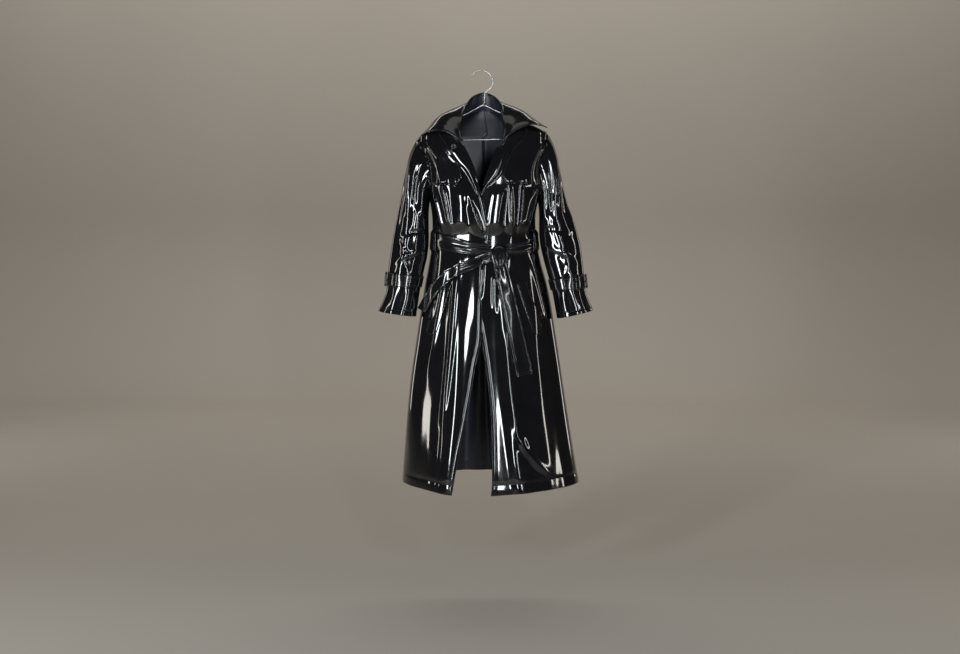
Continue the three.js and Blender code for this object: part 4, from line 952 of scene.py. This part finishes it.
def sleeveSurface(side):
    flip = halves[side]["sign"] < 0
    folds = sleeveFolds[side]

    def surface(u, v):
        u, v = np.broadcast_arrays(np.asarray(u, float), np.asarray(v, float))
        turn = 2 * math.pi * u
        here = sleeveRing(side, turn, v)
        height = unevenness(here * 1.3, 0.9)
        for i in range(len(folds["turn0"])):
            part = (v - folds["at0"][i]) / (folds["at1"][i] - folds["at0"][i])
            near = (part > 0) & (part < 1)
            if not near.any():
                continue
            crest = np.radians(lerp(folds["turn0"][i], folds["turn1"][i], part[near]))
            gap = ((here[near] - sleeveRing(side, crest, v[near])) ** 2).sum(-1)
            share = sleeveLook["narrowShare"] if folds["width"][i] < sleeveLook["narrowUpTo"] else 1
            if sleeveLook["elbowFrom"] <= folds["turn0"][i] < 180:
                share = sleeveLook["elbowShare"]
            bell = np.sin(math.pi * part[near]) * np.exp(-gap / folds["width"][i] ** 2)
            height[near] += share * folds["height"][i] * bell
        out = facing(lambda turn, at: sleeveRing(side, turn, at), turn, v) * (-1 if flip else 1)
        return here + out * (height * smooth(-0.02, 0.04, v))[..., None]
    return surface


strapLook = {"from": 0.815, "to": 0.878, "lift": 1.6, "wall": doubleWall}
loopLook = {"turns": (62, 108, 252), "halfTurn": 6, "over": 0.012, "high": 6.2, "wall": 1.4}
buckleLook = {"turn": 8, "halfWidth": 15, "halfHeight": 23, "bar": 2.5, "thickness": 2,
              "lift": {"right": 5.3, "left": 5.8}}


def ringColumns(count):
    return np.arange(count) / count


def onSurface(surface, flip, lift):
    def lifted(u, v):
        u, v = np.broadcast_arrays(np.asarray(u, float), np.asarray(v, float))
        out = facing(surface, u, v)
        height = lift(u, v) if callable(lift) else np.full(u.shape, float(lift))
        return surface(u, v) + out * (-1 if flip else 1) * height[..., None]
    return lifted


for side, half in halves.items():
    surface = sleeveSurface(side)
    flip = half["sign"] < 0
    vs = evenly(210, (0.002, 0.004, 0.978, 0.982, 0.986))
    us = ringColumns(112)
    grid = surface(us[None, :], vs[:, None])
    spots = [("v", 0, 0.008, -1.0), ("v", 0.982, 0.004, -0.8)]
    grid = pressed(grid, us, vs, spots, flip=flip, wrap=True)
    sewOn(clothWall(f"sleeveCloth_{side}", grid, singleWall, [vinyl, lining], wrap=True, flip=flip),
          f"sleeve_{side}")
    around = np.linspace(0, 1, 160)
    stitches(f"cuffStitches_{side}", [lineOn(surface, around, 0.982, flip=flip, lift=-0.4)])

    # The cuff's strap, its loops and its buckle
    look = strapLook
    flatter = onSurface(surface, flip, look["lift"] + look["wall"])
    vs = lerp(look["from"], look["to"], evenly(12, (0.02, 0.05, 0.09)))
    grid = flatter(ringColumns(120)[None, :], vs[:, None])
    sewOn(clothWall(f"cuffStrap_{side}", grid, look["wall"], [beltVinyl], wrap=True, flip=flip),
          f"cuff_strap_{side}")
    stitches(f"cuffStrapStitches_{side}", [
        lineOn(flatter, around, lerp(look["from"], look["to"], t), flip=flip) for t in (0.12, 0.88)])
    for i, turn in enumerate(loopLook["turns"]):
        reach = loopLook["over"]
        first, last = look["from"] - reach, look["to"] + reach

        def loopHeight(u, v, first=first, last=last):
            part = (v - first) / (last - first)
            return 2.6 + (loopLook["high"] - 1.0) * smooth(0, 0.16, part) * (1 - smooth(0.84, 1, part))
        strip = onSurface(surface, flip, loopHeight)
        us = (turn + np.linspace(-1, 1, 7) * loopLook["halfTurn"]) / 360
        grid = strip(us[None, :], np.linspace(first, last, 26)[:, None])
        sewOn(clothWall(f"cuffLoop_{side}_{i + 1}", grid, loopLook["wall"], [beltVinyl], flip=flip),
              f"cuff_loop_{side}_{i + 1}")
print("sleeves sewn")


def sweep(path, radius, sides, closed, squash=1.0, up=None):
    path = np.asarray(path, float)
    if closed:
        along = unit(np.roll(path, -1, 0) - np.roll(path, 1, 0))
    else:
        along = unit(np.gradient(path, axis=0))
    up = np.broadcast_to(np.asarray(up if up is not None else (0, 1, 0), float), path.shape)
    side = unit(np.cross(along, up))
    over = unit(np.cross(side, along))
    angles = np.arange(sides) * 2 * math.pi / sides
    rings = path[:, None] + radius * (side[:, None] * np.cos(angles)[None, :, None]
                                      + over[:, None] * np.sin(angles)[None, :, None] * squash)
    count = len(path)
    ids = np.arange(count * sides).reshape(count, sides)
    after = np.roll(ids, -1, 1)
    if closed:
        nxt = np.roll(ids, -1, 0)
        faces = np.stack([ids, after, np.roll(nxt, -1, 1), nxt], -1).reshape(-1, 4).tolist()
    else:
        faces = np.stack([ids[:-1], after[:-1], after[1:], ids[1:]], -1).reshape(-1, 4).tolist()
        faces.append(ids[0][::-1].tolist())
        faces.append(ids[-1].tolist())
    return rings.reshape(-1, 3), [f[::-1] for f in faces]


for side, half in halves.items():
    surface, flip = sleeveSurface(side), half["sign"] < 0
    look = buckleLook
    u, v = np.array([look["turn"] / 360]), np.array([(strapLook["from"] + strapLook["to"]) / 2])
    centre, out = (found[0] for found in lineOn(surface, u, v, flip=flip, lift=look["lift"][side]))
    along = unit(surface(u, v + 0.01) - surface(u, v - 0.01))[0]
    across = unit(np.cross(along, out))
    w, h = look["halfWidth"] - look["bar"], look["halfHeight"] - look["bar"]
    corner, outline = 5.0, []
    for cx, cy, start in ((w, h, 0), (-w, h, 90), (-w, -h, 180), (w, -h, 270)):
        for a in np.radians(np.linspace(start, start + 90, 7)):
            outline.append((math.copysign(abs(cx) - corner, cx) + corner * math.cos(a),
                            math.copysign(abs(cy) - corner, cy) + corner * math.sin(a)))
    path = [centre + across * x + np.cross(out, across) * y for x, y in outline]
    verts, faces = sweep(path, look["bar"], 10, True, squash=0.8, up=out)
    bar = [centre + across * x for x in np.linspace(-w, w, 6)]
    barVerts, barFaces = sweep(bar, 1.6, 8, False, up=out)
    faces += [[i + len(verts) for i in f] for f in barFaces]
    sewOn(makeMesh(f"cuffBuckle_{side}", np.concatenate([verts, barVerts]), faces, [trimPlastic]),
          f"cuff_buckle_{side}", slot="trim")

# Collar
collar = table("at rollX rollY rollZ edgeX edgeY edgeZ puff forward", [
    (-1, -61, -78, -218, -184, -38, -196, 44, 16), (-0.85, -68, -59, -188, -180, -14, -188, 48, 24),
    (-0.7, -64, -36, -146, -168, 22, -176, 52, 20), (-0.5, -49, -1, -110, -130, 64, -162, 42, 8),
    (-0.25, -28, 40, -78, -66, 88, -156, 14, 2), (0, 5, 54, -65, 5, 96, -152, 4, 0),
    (0.25, 36, 42, -76, 78, 88, -154, 14, 2), (0.5, 57, 0, -104, 142, 62, -156, 40, 8),
    (0.7, 65, -36, -142, 184, 24, -164, 50, 24), (0.85, 70, -60, -184, 194, -12, -168, 50, 30),
    (1, 64, -80, -214, 199, -38, -172, 46, 18)])
rollShare, rollStart = 0.4, math.radians(-105)
standEnd, neckPoint, standTopDrop = 0.86, 0.55, 1.5


def collarVector(prefix, at):
    return points(*(readTable(collar, prefix + axis, at) for axis in "XYZ"))


def rollFrame(at):
    point = collarVector("roll", at)
    level = np.minimum(point[..., 2], -122)
    s = section(level)
    depth = np.where(point[..., 1] < 0, s["front"], s["back"])
    face = ringNormal(np.arctan2(-point[..., 1] / depth, (point[..., 0] - s["middle"]) / s["half"]), level)
    along = unit(collarVector("roll", at + 0.01) - collarVector("roll", at - 0.01))
    return point, face, unit(np.cross(along, face))


def rollPoint(point, face, over, part):
    angle = lerp(rollStart, math.pi / 2, part)[..., None]
    return point + over * cut["rollRadius"] * np.cos(angle) + face * cut["rollRadius"] * np.sin(angle)


def collarLeaf(u, v):
    u, v = np.broadcast_arrays(np.asarray(u, float), np.asarray(v, float))
    at = 2 * u - 1
    point, face, over = rollFrame(at)
    rolled = rollPoint(point, face, over, np.clip(v / rollShare, None, 1))
    t = np.clip((v - rollShare) / (1 - rollShare), 0, None)[..., None]
    start, end = rollPoint(point, face, over, np.ones_like(v)), collarVector("edge", at)
    middle = (start + end) / 2 + face * readTable(collar, "forward", at)[..., None]
    middle[..., 2] += readTable(collar, "puff", at)
    leaf = start * (1 - t) ** 2 + middle * 2 * t * (1 - t) + end * t * t
    return np.where((v < rollShare)[..., None], rolled, leaf)


collarLook = {"wall": doubleWall, "columns": 220, "rows": 60, "stitchAt": 0.955}
us = evenly(collarLook["columns"], (0.0015, 0.004, 0.008, 0.012, 0.018))
vs = evenly(collarLook["rows"], (0.004, 0.01, 0.02, 0.032, 0.045, 0.058))
grid = collarLeaf(us[None, :], vs[:, None])
grid = grid + gridNormals(grid) * (unevenness(grid * 1.4, 1.1) * smooth(0.3, 0.6, vs)[:, None])[..., None]
grid = pressed(grid, us, vs, [("v", collarLook["stitchAt"], 0.012, -0.7), ("u", 0.012, 0.004, -0.7),
                              ("u", 0.988, 0.004, -0.7)])
sewOn(clothWall("collarLeaf", grid, collarLook["wall"], [collarVinyl]), "collar_leaf")
leafLine = np.linspace(0.012, 0.988, 400)
stitches("collarStitches", [lineOn(collarLeaf, leafLine, collarLook["stitchAt"], lift=0.1),
                            lineOn(collarLeaf, 0.012, np.linspace(0.45, 0.95, 80), lift=0.1),
                            lineOn(collarLeaf, 0.988, np.linspace(0.45, 0.95, 80), lift=0.1)])


def necklineAt(at):
    onBack = backPanel((at / neckPoint + 1) / 2, 0) + points(0, 0, 0.8)
    found = onBack
    for side, half in halves.items():
        part = np.clip((np.abs(at) - neckPoint) / (standEnd - neckPoint), 0, 1)
        edge = frontPanel(half)(0.0 if half["sign"] < 0 else 1.0, part * rowsOf["shoulder"] / panelRows)
        edge = edge + np.array([-half["sign"] * 0.6, 0, 0.4])
        mine = (at * half["sign"] >= neckPoint)[..., None]
        found = np.where(mine, edge, found)
    return found


def standSurface(u, v):
    u, v = np.broadcast_arrays(np.asarray(u, float), np.asarray(v, float))
    at = standEnd * (2 * u - 1)
    point, face, over = rollFrame(at)
    top = point + face * 0.75 - over * standTopDrop
    bow = np.sin(math.pi * v)[..., None] * 1.2
    return lerp(necklineAt(at), top, v[..., None]) + face * bow


us, vs = evenly(150, (0.003,)), evenly(16, (0.02,))
grid = standSurface(us[None, :], vs[:, None])
sewOn(clothWall("collarStand", grid, singleWall, [vinyl, lining], flip=True), "collar_stand")
print("collar sewn")

# Lapels
lapels = {
    "right": table("at edgeZ outX outZ", [
        (0, -232, -103, -264), (0.3, -264, -82, -286), (0.55, -300, -58, -304),
        (0.8, -338, -32, -346), (1, -372, -15, -380)]),
    "left": table("at edgeZ outX outZ", [
        (0, -236, 84, -246), (0.3, -262, 72, -284), (0.6, -298, 56, -322), (0.85, -332, 24, -352),
        (1, -350, 13, -358)]),
}
lapelLook = {"wall": doubleWall, "height": 7, "edgeHeight": 3.6, "rollOut": 4.25}


def lapelSurface(side):
    half, rows = halves[side], lapels[side]

    def edgePoint(z):
        return half["point"](turnAt(readTable(half["edge"], "x", z), z), z)

    def surface(u, v):
        u, v = np.broadcast_arrays(np.asarray(u, float), np.asarray(v, float))
        at = u if half["sign"] < 0 else 1 - u
        z = readTable(rows, "edgeZ", at)
        x = readTable(half["edge"], "x", z)
        face = ringNormal(turnAt(x, z), z)
        along = unit(edgePoint(z - 2) - edgePoint(z + 2))
        over = unit(np.cross(face, along)) * -half["sign"]
        point = edgePoint(z) - face * 0.75
        rolled = rollPoint(point, face, over, np.clip(v / rollShare, None, 1))
        t = np.clip((v - rollShare) / (1 - rollShare), 0, None)
        outX, outZ = lerp(x, readTable(rows, "outX", at), t), lerp(z, readTable(rows, "outZ", at), t)
        height = lerp(lapelLook["rollOut"], lapelLook["height"], smooth(0, 0.4, t))
        height = lerp(height, lapelLook["edgeHeight"], smooth(0.5, 1, t))
        flat = half["point"](turnAt(outX, outZ), outZ, height)
        return np.where((v < rollShare)[..., None], rolled, flat)
    return surface


for side in halves:
    surface = lapelSurface(side)
    us, vs = evenly(70, (0.004, 0.012, 0.03)), evenly(44, (0.006, 0.015, 0.03, 0.05))
    grid = surface(us[None, :], vs[:, None])
    sewOn(clothWall(f"lapelCloth_{side}", grid, lapelLook["wall"], [vinyl], flip=True), f"lapel_{side}")
    stitches(f"lapelStitches_{side}", [lineOn(surface, np.linspace(0.04, 0.96, 120), 0.93, flip=True)])
print("lapels sewn")


# Strips that lie on the front: their middle line, width and height over it
def stripSurface(rows, point):
    def middle(at):
        return readTable(rows, "x", at), readTable(rows, "z", at)

    def surface(u, v):
        u, v = np.broadcast_arrays(np.asarray(u, float), np.asarray(v, float))
        ax, az = middle(v + 0.01)
        bx, bz = middle(v - 0.01)
        size = np.hypot(ax - bx, az - bz)
        dx, dz = (ax - bx) / size, (az - bz) / size
        reach = (0.5 - u) * readTable(rows, "width", v)
        mx, mz = middle(v)
        x, z = mx - dz * reach, mz + dx * reach
        lift = lerp(readTable(rows, "lift", v), readTable(rows, "liftEnd", v), u)
        return point(turnAt(x, z), z, lift)
    return surface


welts = {
    "right": (table("at x z width lift liftEnd", [
        (0, -106, -647, 27, 4.4, 4.4), (0.9, -149, -786, 30, 4.4, 4.4), (0.97, -152, -796, 25, 4.4, 4.4),
        (1, -153, -801, 17, 4.4, 4.4)]), rightFrontPoint),
    "left": (table("at x z width lift liftEnd", [
        (0, 120, -645, 27, 3.4, 3.4), (0.9, 165, -784, 30, 3.4, 3.4), (0.97, 168, -794, 25, 3.4, 3.4),
        (1, 169, -799, 17, 3.4, 3.4)]), coatPoint),
}
for side, (rows, point) in welts.items():
    surface = stripSurface(rows, point)
    us, vs = evenly(16, (0.02, 0.06)), evenly(60, (0.004, 0.012))
    grid = surface(us[None, :], vs[:, None])
    sewOn(clothWall(f"pocketWelt_{side}", grid, doubleWall, [vinyl]), f"pocket_welt_{side}")
    down = np.linspace(0.02, 0.95, 100)
    stitches(f"weltStitches_{side}", [lineOn(surface, across, down) for across in (0.14, 0.86)])
print("welts sewn")

# Belt, its tails and the knot
beltLook = {"z": -521, "width": 48, "lift": 5.2, "dip": 22, "wall": doubleWall, "knotX": 49, "knotZ": -566,
            "underKnot": (22, 24), "squeeze": 14, "squeezeEnds": (0.2, 0.18)}
beltStart = float(turnAt(beltLook["knotX"] - beltLook["underKnot"][0], float(beltLook["z"])))
beltEnd = 2 * math.pi + float(turnAt(beltLook["knotX"] + beltLook["underKnot"][1], float(beltLook["z"])))
beltPleats = table("v height width until", [
    (0.16, 3.4, 0.1, 0.19), (0.42, -3.0, 0.12, 0.22), (0.66, 3.2, 0.1, 0.17), (0.88, -2.0, 0.09, 0.14)])


def beltHold(turn, z):
    base = ringPoint(turn, z)
    height = foldSum(turn, z, largeFolds) + np.where(turn < math.pi, overlapAt(base[..., 0], z), 0)
    return base + ringNormal(turn, z) * height[..., None]


def beltSurface(u, v):
    u, v = np.broadcast_arrays(np.asarray(u, float), np.asarray(v, float))
    turn = lerp(beltStart, beltEnd, u)
    nearKnot = np.maximum(1 - smooth(0, 0.2, u), smooth(0.82, 1, u))
    width = beltLook["width"] - beltLook["squeeze"] * nearKnot
    z = beltLook["z"] - beltLook["dip"] * nearKnot
    top, bottom = beltHold(turn, z + width / 2), beltHold(turn, z - width / 2)
    lift = np.full(u.shape, float(beltLook["lift"]))
    for i in range(len(beltPleats["v"])):
        fade = 1 - smooth(0, beltPleats["until"][i], np.minimum(u, 1 - u))
        bell = np.exp(-((v - beltPleats["v"][i]) / beltPleats["width"][i]) ** 2)
        lift = lift + beltPleats["height"][i] * fade * bell
    middle = lerp(top, bottom, v[..., None])
    lift = lift + 0.35 * np.sin(u * 90 + v * 5) + 0.4 * np.sin(u * 41 - v * 3)
    return middle + ringNormal(turn, middle[..., 2]) * lift[..., None]


us, vs = evenly(360), evenly(24, (0.01, 0.03, 0.06, 0.1, 0.14))
grid = beltSurface(us[None, :], vs[:, None])
grid = pressed(grid, us, vs, [("v", 0.1, 0.03, -0.5), ("v", 0.9, 0.03, -0.5)])
sewOn(clothWall("beltCloth", grid, beltLook["wall"], [beltVinyl]), "belt")
around = np.linspace(0.01, 0.99, 900)
stitches("beltStitches", [lineOn(beltSurface, around, edge, lift=-0.2) for edge in (0.1, 0.9)])

tails = {
    "short": (table("at x z width lift liftEnd", [
        (0, 40, -560, 26, 9, 9), (0.1, 14, -568, 30, 9, 9), (0.3, -42, -592, 31, 8.4, 9.4),
        (0.5, -88, -613, 30, 7.4, 11.4), (0.7, -127, -650, 27, 7.4, 13.4), (0.85, -154, -690, 23, 7.4, 14.4),
        (1, -176, -730, 21, 8.4, 14.4)]), rightFrontPoint),
    "long": (table("at x z width lift liftEnd", [
        (0, 53, -588, 36, 13.4, 13.4), (0.15, 66, -640, 41, 8.4, 8.4), (0.4, 84, -720, 43, 7.4, 6.4),
        (0.7, 106, -820, 44, 8.4, 7.4), (1, 126, -920, 45, 9.4, 8.4)]), coatPoint),
}
# Creases that run down from the knot: place across, height and how far they reach
tailCreases = {"short": ((0.35, 2.4, 0.55), (0.72, -1.8, 0.5)),
               "long": ((0.3, 1.6, 0.3), (0.66, -1.4, 0.24))}
for which, (rows, point) in tails.items():
    plain = stripSurface(rows, point)

    def tailLift(u, v, crease=tailCreases[which]):
        lift = 0.5 * np.sin(v * 17 + u * 2) + 0.3 * np.sin(v * 31)
        for at, height, until in crease:
            lift = lift + height * (1 - smooth(0, until, v)) * np.exp(-((u - at) / 0.14) ** 2)
        return lift
    surface = onSurface(plain, False, tailLift)
    us, vs = evenly(22, (0.01, 0.03, 0.06, 0.1, 0.14)), evenly(130, (0.002, 0.006, 0.012, 0.02))
    grid = surface(us[None, :], vs[:, None])
    grid = pressed(grid, us, vs, [("u", 0.1, 0.03, -0.5), ("u", 0.9, 0.03, -0.5), ("v", 0.98, 0.006, -0.5)])
    sewOn(clothWall(f"beltTail_{which}", grid, doubleWall, [beltVinyl]), f"belt_tail_{which}")
    down = np.linspace(0.03, 0.98, 260)
    stitches(f"tailStitches_{which}", [
        lineOn(surface, 0.1, down, lift=-0.2), lineOn(surface, 0.9, down, lift=-0.2),
        lineOn(surface, np.linspace(0.1, 0.9, 30), 0.98, lift=-0.2)])

knotLook = {"halfWidth": 27, "halfHeight": 37, "lift": 14.4, "thickness": 20}
knotFolds = table("u0 v0 u1 v1 height width", [
    (-0.6, -0.9, -0.3, 0.9, 1.0, 0.2), (0.5, -0.9, 0.4, 0.9, 1.0, 0.22),
    (-0.05, -0.8, 0.1, 0.6, -1.0, 0.16)])


def knotGrid(rows, columns, dome):
    down, across = np.meshgrid(np.linspace(-1, 1, rows), np.linspace(1, -1, columns), indexing="ij")
    narrow = 1 - 0.28 * smooth(-0.2, 1, down)
    x = beltLook["knotX"] + knotLook["halfWidth"] * narrow * across * np.sqrt(1 - down ** 2 / 2)
    z = beltLook["knotZ"] - knotLook["halfHeight"] * down * np.sqrt(1 - across ** 2 / 2)
    bulge = np.sqrt(np.maximum(0, (1 - across ** 8) * (1 - down ** 4)))
    extra = sum(bell * bulge for _, bell in creaseBells(knotFolds, across, down))
    lift = knotLook["lift"] + dome * (2.5 + knotLook["thickness"] * bulge * 0.8 + extra)
    turn = turnAt(x, z)
    base = ringPoint(turn, z) + ringNormal(turn, z) * foldSum(turn, z, largeFolds)[..., None]
    return base + ringNormal(turn, z) * np.asarray(lift)[..., None]


outer, inner = knotGrid(48, 44, 1), knotGrid(48, 44, 0)
thickness = np.linalg.norm(outer - inner, axis=-1)
knot = clothWall("beltKnot", outer, thickness, [beltVinyl], normals=unit(outer - inner))
sewOn(knot, "belt_knot")

# Carriers
carrierLook = {"x": {"right": -143, "left": 158}, "high": {"right": 8.4, "left": 9}, "low": 3.2,
               "halfWidth": 7, "reach": 37}
for side in halves:
    def carrierSurface(u, v, x=carrierLook["x"][side], high=carrierLook["high"][side]):
        u, v = np.broadcast_arrays(np.asarray(u, float), np.asarray(v, float))
        across = x + carrierLook["halfWidth"] * (1 - 2 * u)
        ends = [coatPoint(turnAt(across, level), level) for level in (
            np.full(u.shape, float(beltLook["z"] + way * carrierLook["reach"])) for way in (1, -1))]
        z = beltLook["z"] + carrierLook["reach"] * (1 - 2 * v)
        rise = smooth(0, 0.16, v) * (1 - smooth(0.84, 1, v))
        outwards = ringNormal(turnAt(across, z), z)
        return lerp(*ends, v[..., None]) + outwards * lerp(carrierLook["low"], high, rise)[..., None]
    us, vs = evenly(9, (0.03, 0.08)), evenly(40, (0.006,))
    grid = carrierSurface(us[None, :], vs[:, None])
    sewOn(clothWall(f"beltCarrier_{side}", grid, singleWall, [beltVinyl]), f"belt_carrier_{side}")
print("belt tied")

# Neck button: a turned disc with a raised rim and a sunk centre
buttonLook = {"x": -85, "z": -233, "radius": 8.5, "lift": 2.6}
level = np.array([float(buttonLook["z"])])
turn = turnAt(buttonLook["x"], level)
out = ringNormal(turn, level)[0]
centre = coatPoint(turn, level, buttonLook["lift"])[0]
side = unit(np.cross(out, (0, 0, 1)))
up = np.cross(side, out)
profile = [(0, 1.7), (0.35, 1.7), (0.5, 1.8), (0.62, 2.5), (0.75, 3.0), (0.88, 3.0), (0.97, 2.5),
           (1, 1.5), (0.97, 0.5), (0.85, 0), (0, 0)]
count = 40
verts = [centre + out * profile[0][1]]
for r, h in profile[1:-1]:
    for k in range(count):
        a = 2 * math.pi * k / count
        verts.append(centre + (side * math.cos(a) + up * math.sin(a)) * r * buttonLook["radius"] + out * h)
verts.append(centre + out * profile[-1][1])
faces = [[0, 1 + k, 1 + (k + 1) % count] for k in range(count)]
for i in range(len(profile) - 3):
    for k in range(count):
        a, b = 1 + i * count + k, 1 + i * count + (k + 1) % count
        faces.append([a, a + count, b + count, b])
base = 1 + (len(profile) - 3) * count
faces += [[base + k, len(verts) - 1, base + (k + 1) % count] for k in range(count)]
sewOn(makeMesh("neckButton", verts, faces, [trimPlastic]), "neck_button", slot="trim")

# The hanger's solids stay and get their metal
for name in ("hanger_hook", "hanger_frame", "hanger_twist"):
    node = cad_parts[name]
    node.data.materials.clear()
    node.data.materials.append(wireMetal)
    node.data.polygons.foreach_set("use_smooth", [True] * len(node.data.polygons))
print("hanger finished")

# Stage, lights and camera
stageLook = {"floorZ": -1.63, "colour": (0.50, 0.46, 0.41), "backY": 5.4, "bend": 1.2,
             "frontY": -9.0, "top": 7.0}


def makeStage():
    profile = [(stageLook["frontY"], stageLook["floorZ"])]
    r = stageLook["bend"]
    for k in range(13):
        a = math.radians(90 * k / 12)
        profile.append((stageLook["backY"] - r + r * math.sin(a), stageLook["floorZ"] + r - r * math.cos(a)))
    profile.append((stageLook["backY"], stageLook["top"]))
    verts, faces = [], []
    for y, z in profile:
        verts += [(-9000, y * 1000, z * 1000), (9000, y * 1000, z * 1000)]
    for k in range(len(profile) - 1):
        faces.append([2 * k, 2 * k + 1, 2 * k + 3, 2 * k + 2])
    material, nodes, links, shader = newMaterial("paleBackdrop")
    place, noise = nodes.new("ShaderNodeTexCoord"), nodes.new("ShaderNodeTexNoise")
    noise.inputs["Scale"].default_value = 0.8
    links.new(place.outputs["Object"], noise.inputs["Vector"])
    shade = nodes.new("ShaderNodeMix")
    shade.data_type = "RGBA"
    shade.inputs["A"].default_value = (*stageLook["colour"], 1)
    shade.inputs["B"].default_value = (*[c * 0.9 for c in stageLook["colour"]], 1)
    links.new(noise.outputs["Fac"], shade.inputs["Factor"])
    links.new(shade.outputs["Result"], shader.inputs["Base Color"])
    shader.inputs["Roughness"].default_value = 0.9
    return makeMesh("paleBackdrop", verts, faces, [material])


makeStage()

lights = {
    "stripLeft": {"at": (-1.62, -3.0, -0.4), "to": (0, 0, -0.4), "size": (0.3, 2.1), "power": 58,
                  "colour": (0.9, 0.96, 1)},
    "stripMiddle": {"at": (0.56, -3.35, -0.4), "to": (0, 0, -0.4), "size": (0.17, 2.1), "power": 32,
                    "colour": (0.9, 0.96, 1)},
    "stripRight": {"at": (1.45, -3.0, -0.4), "to": (0, 0, -0.4), "size": (0.06, 2.0), "power": 6,
                   "colour": (0.95, 0.98, 1)},
    "edgeLeft": {"at": (-2.4, -0.7, -0.3), "to": (0, 0, -0.5), "size": (0.12, 2.0), "power": 7,
                 "colour": (1, 0.95, 0.88)},
    "edgeRight": {"at": (2.4, -0.7, -0.3), "to": (0, 0, -0.5), "size": (0.12, 2.0), "power": 7,
                  "colour": (1, 0.95, 0.88)},
    "overhead": {"at": (0, -0.7, 2.0), "to": (0, 0, -0.4), "size": (1.8, 0.9), "power": 4,
                 "colour": (1, 0.97, 0.93)},
    "behindLeft": {"at": (-3.5, 2.6, -0.3), "to": (0, 0, -0.5), "size": (0.4, 2.1), "power": 8,
                   "colour": (1, 0.96, 0.9)},
    "behindRight": {"at": (3.5, 2.6, -0.3), "to": (0, 0, -0.5), "size": (0.4, 2.1), "power": 8,
                    "colour": (1, 0.96, 0.9)},
    "backdropWash": {"at": (0, 3.2, 3.4), "to": (0, 5.4, -0.6), "size": (9.0, 0.8), "power": 150,
                     "colour": (1, 0.96, 0.9)},
}
for name, look in lights.items():
    data = bpy.data.lights.new(name, "AREA")
    data.shape = "RECTANGLE"
    data.size, data.size_y = look["size"]
    data.energy = look["power"]
    data.color = look["colour"]
    lamp = bpy.data.objects.new(name, data)
    lamp.location = look["at"]
    lamp.visible_camera = False
    lamp.rotation_euler = (Vector(look["to"]) - Vector(look["at"])).to_track_quat("-Z", "Y").to_euler()
    bpy.context.scene.collection.objects.link(lamp)

world = bpy.data.worlds.new("studioAir")
world.use_nodes = True
world.node_tree.nodes["Background"].inputs["Color"].default_value = (0.6, 0.57, 0.53, 1)
world.node_tree.nodes["Background"].inputs["Strength"].default_value = 0.05
bpy.context.scene.world = world
bpy.context.scene.view_settings.view_transform = "Standard"

cameraLook = {"at": (-0.0061, -4.133, -0.4393), "pitch": 4.8016, "lens": 50, "sensor": 36}
cameraData = bpy.data.cameras.new("photoCamera")
cameraData.lens, cameraData.sensor_width = cameraLook["lens"], cameraLook["sensor"]
camera = bpy.data.objects.new("photoCamera", cameraData)
camera.location = cameraLook["at"]
camera.rotation_euler = (math.radians(90 - cameraLook["pitch"]), 0, 0)
bpy.context.scene.collection.objects.link(camera)
bpy.context.scene.camera = camera
print("stage, lights and camera set")
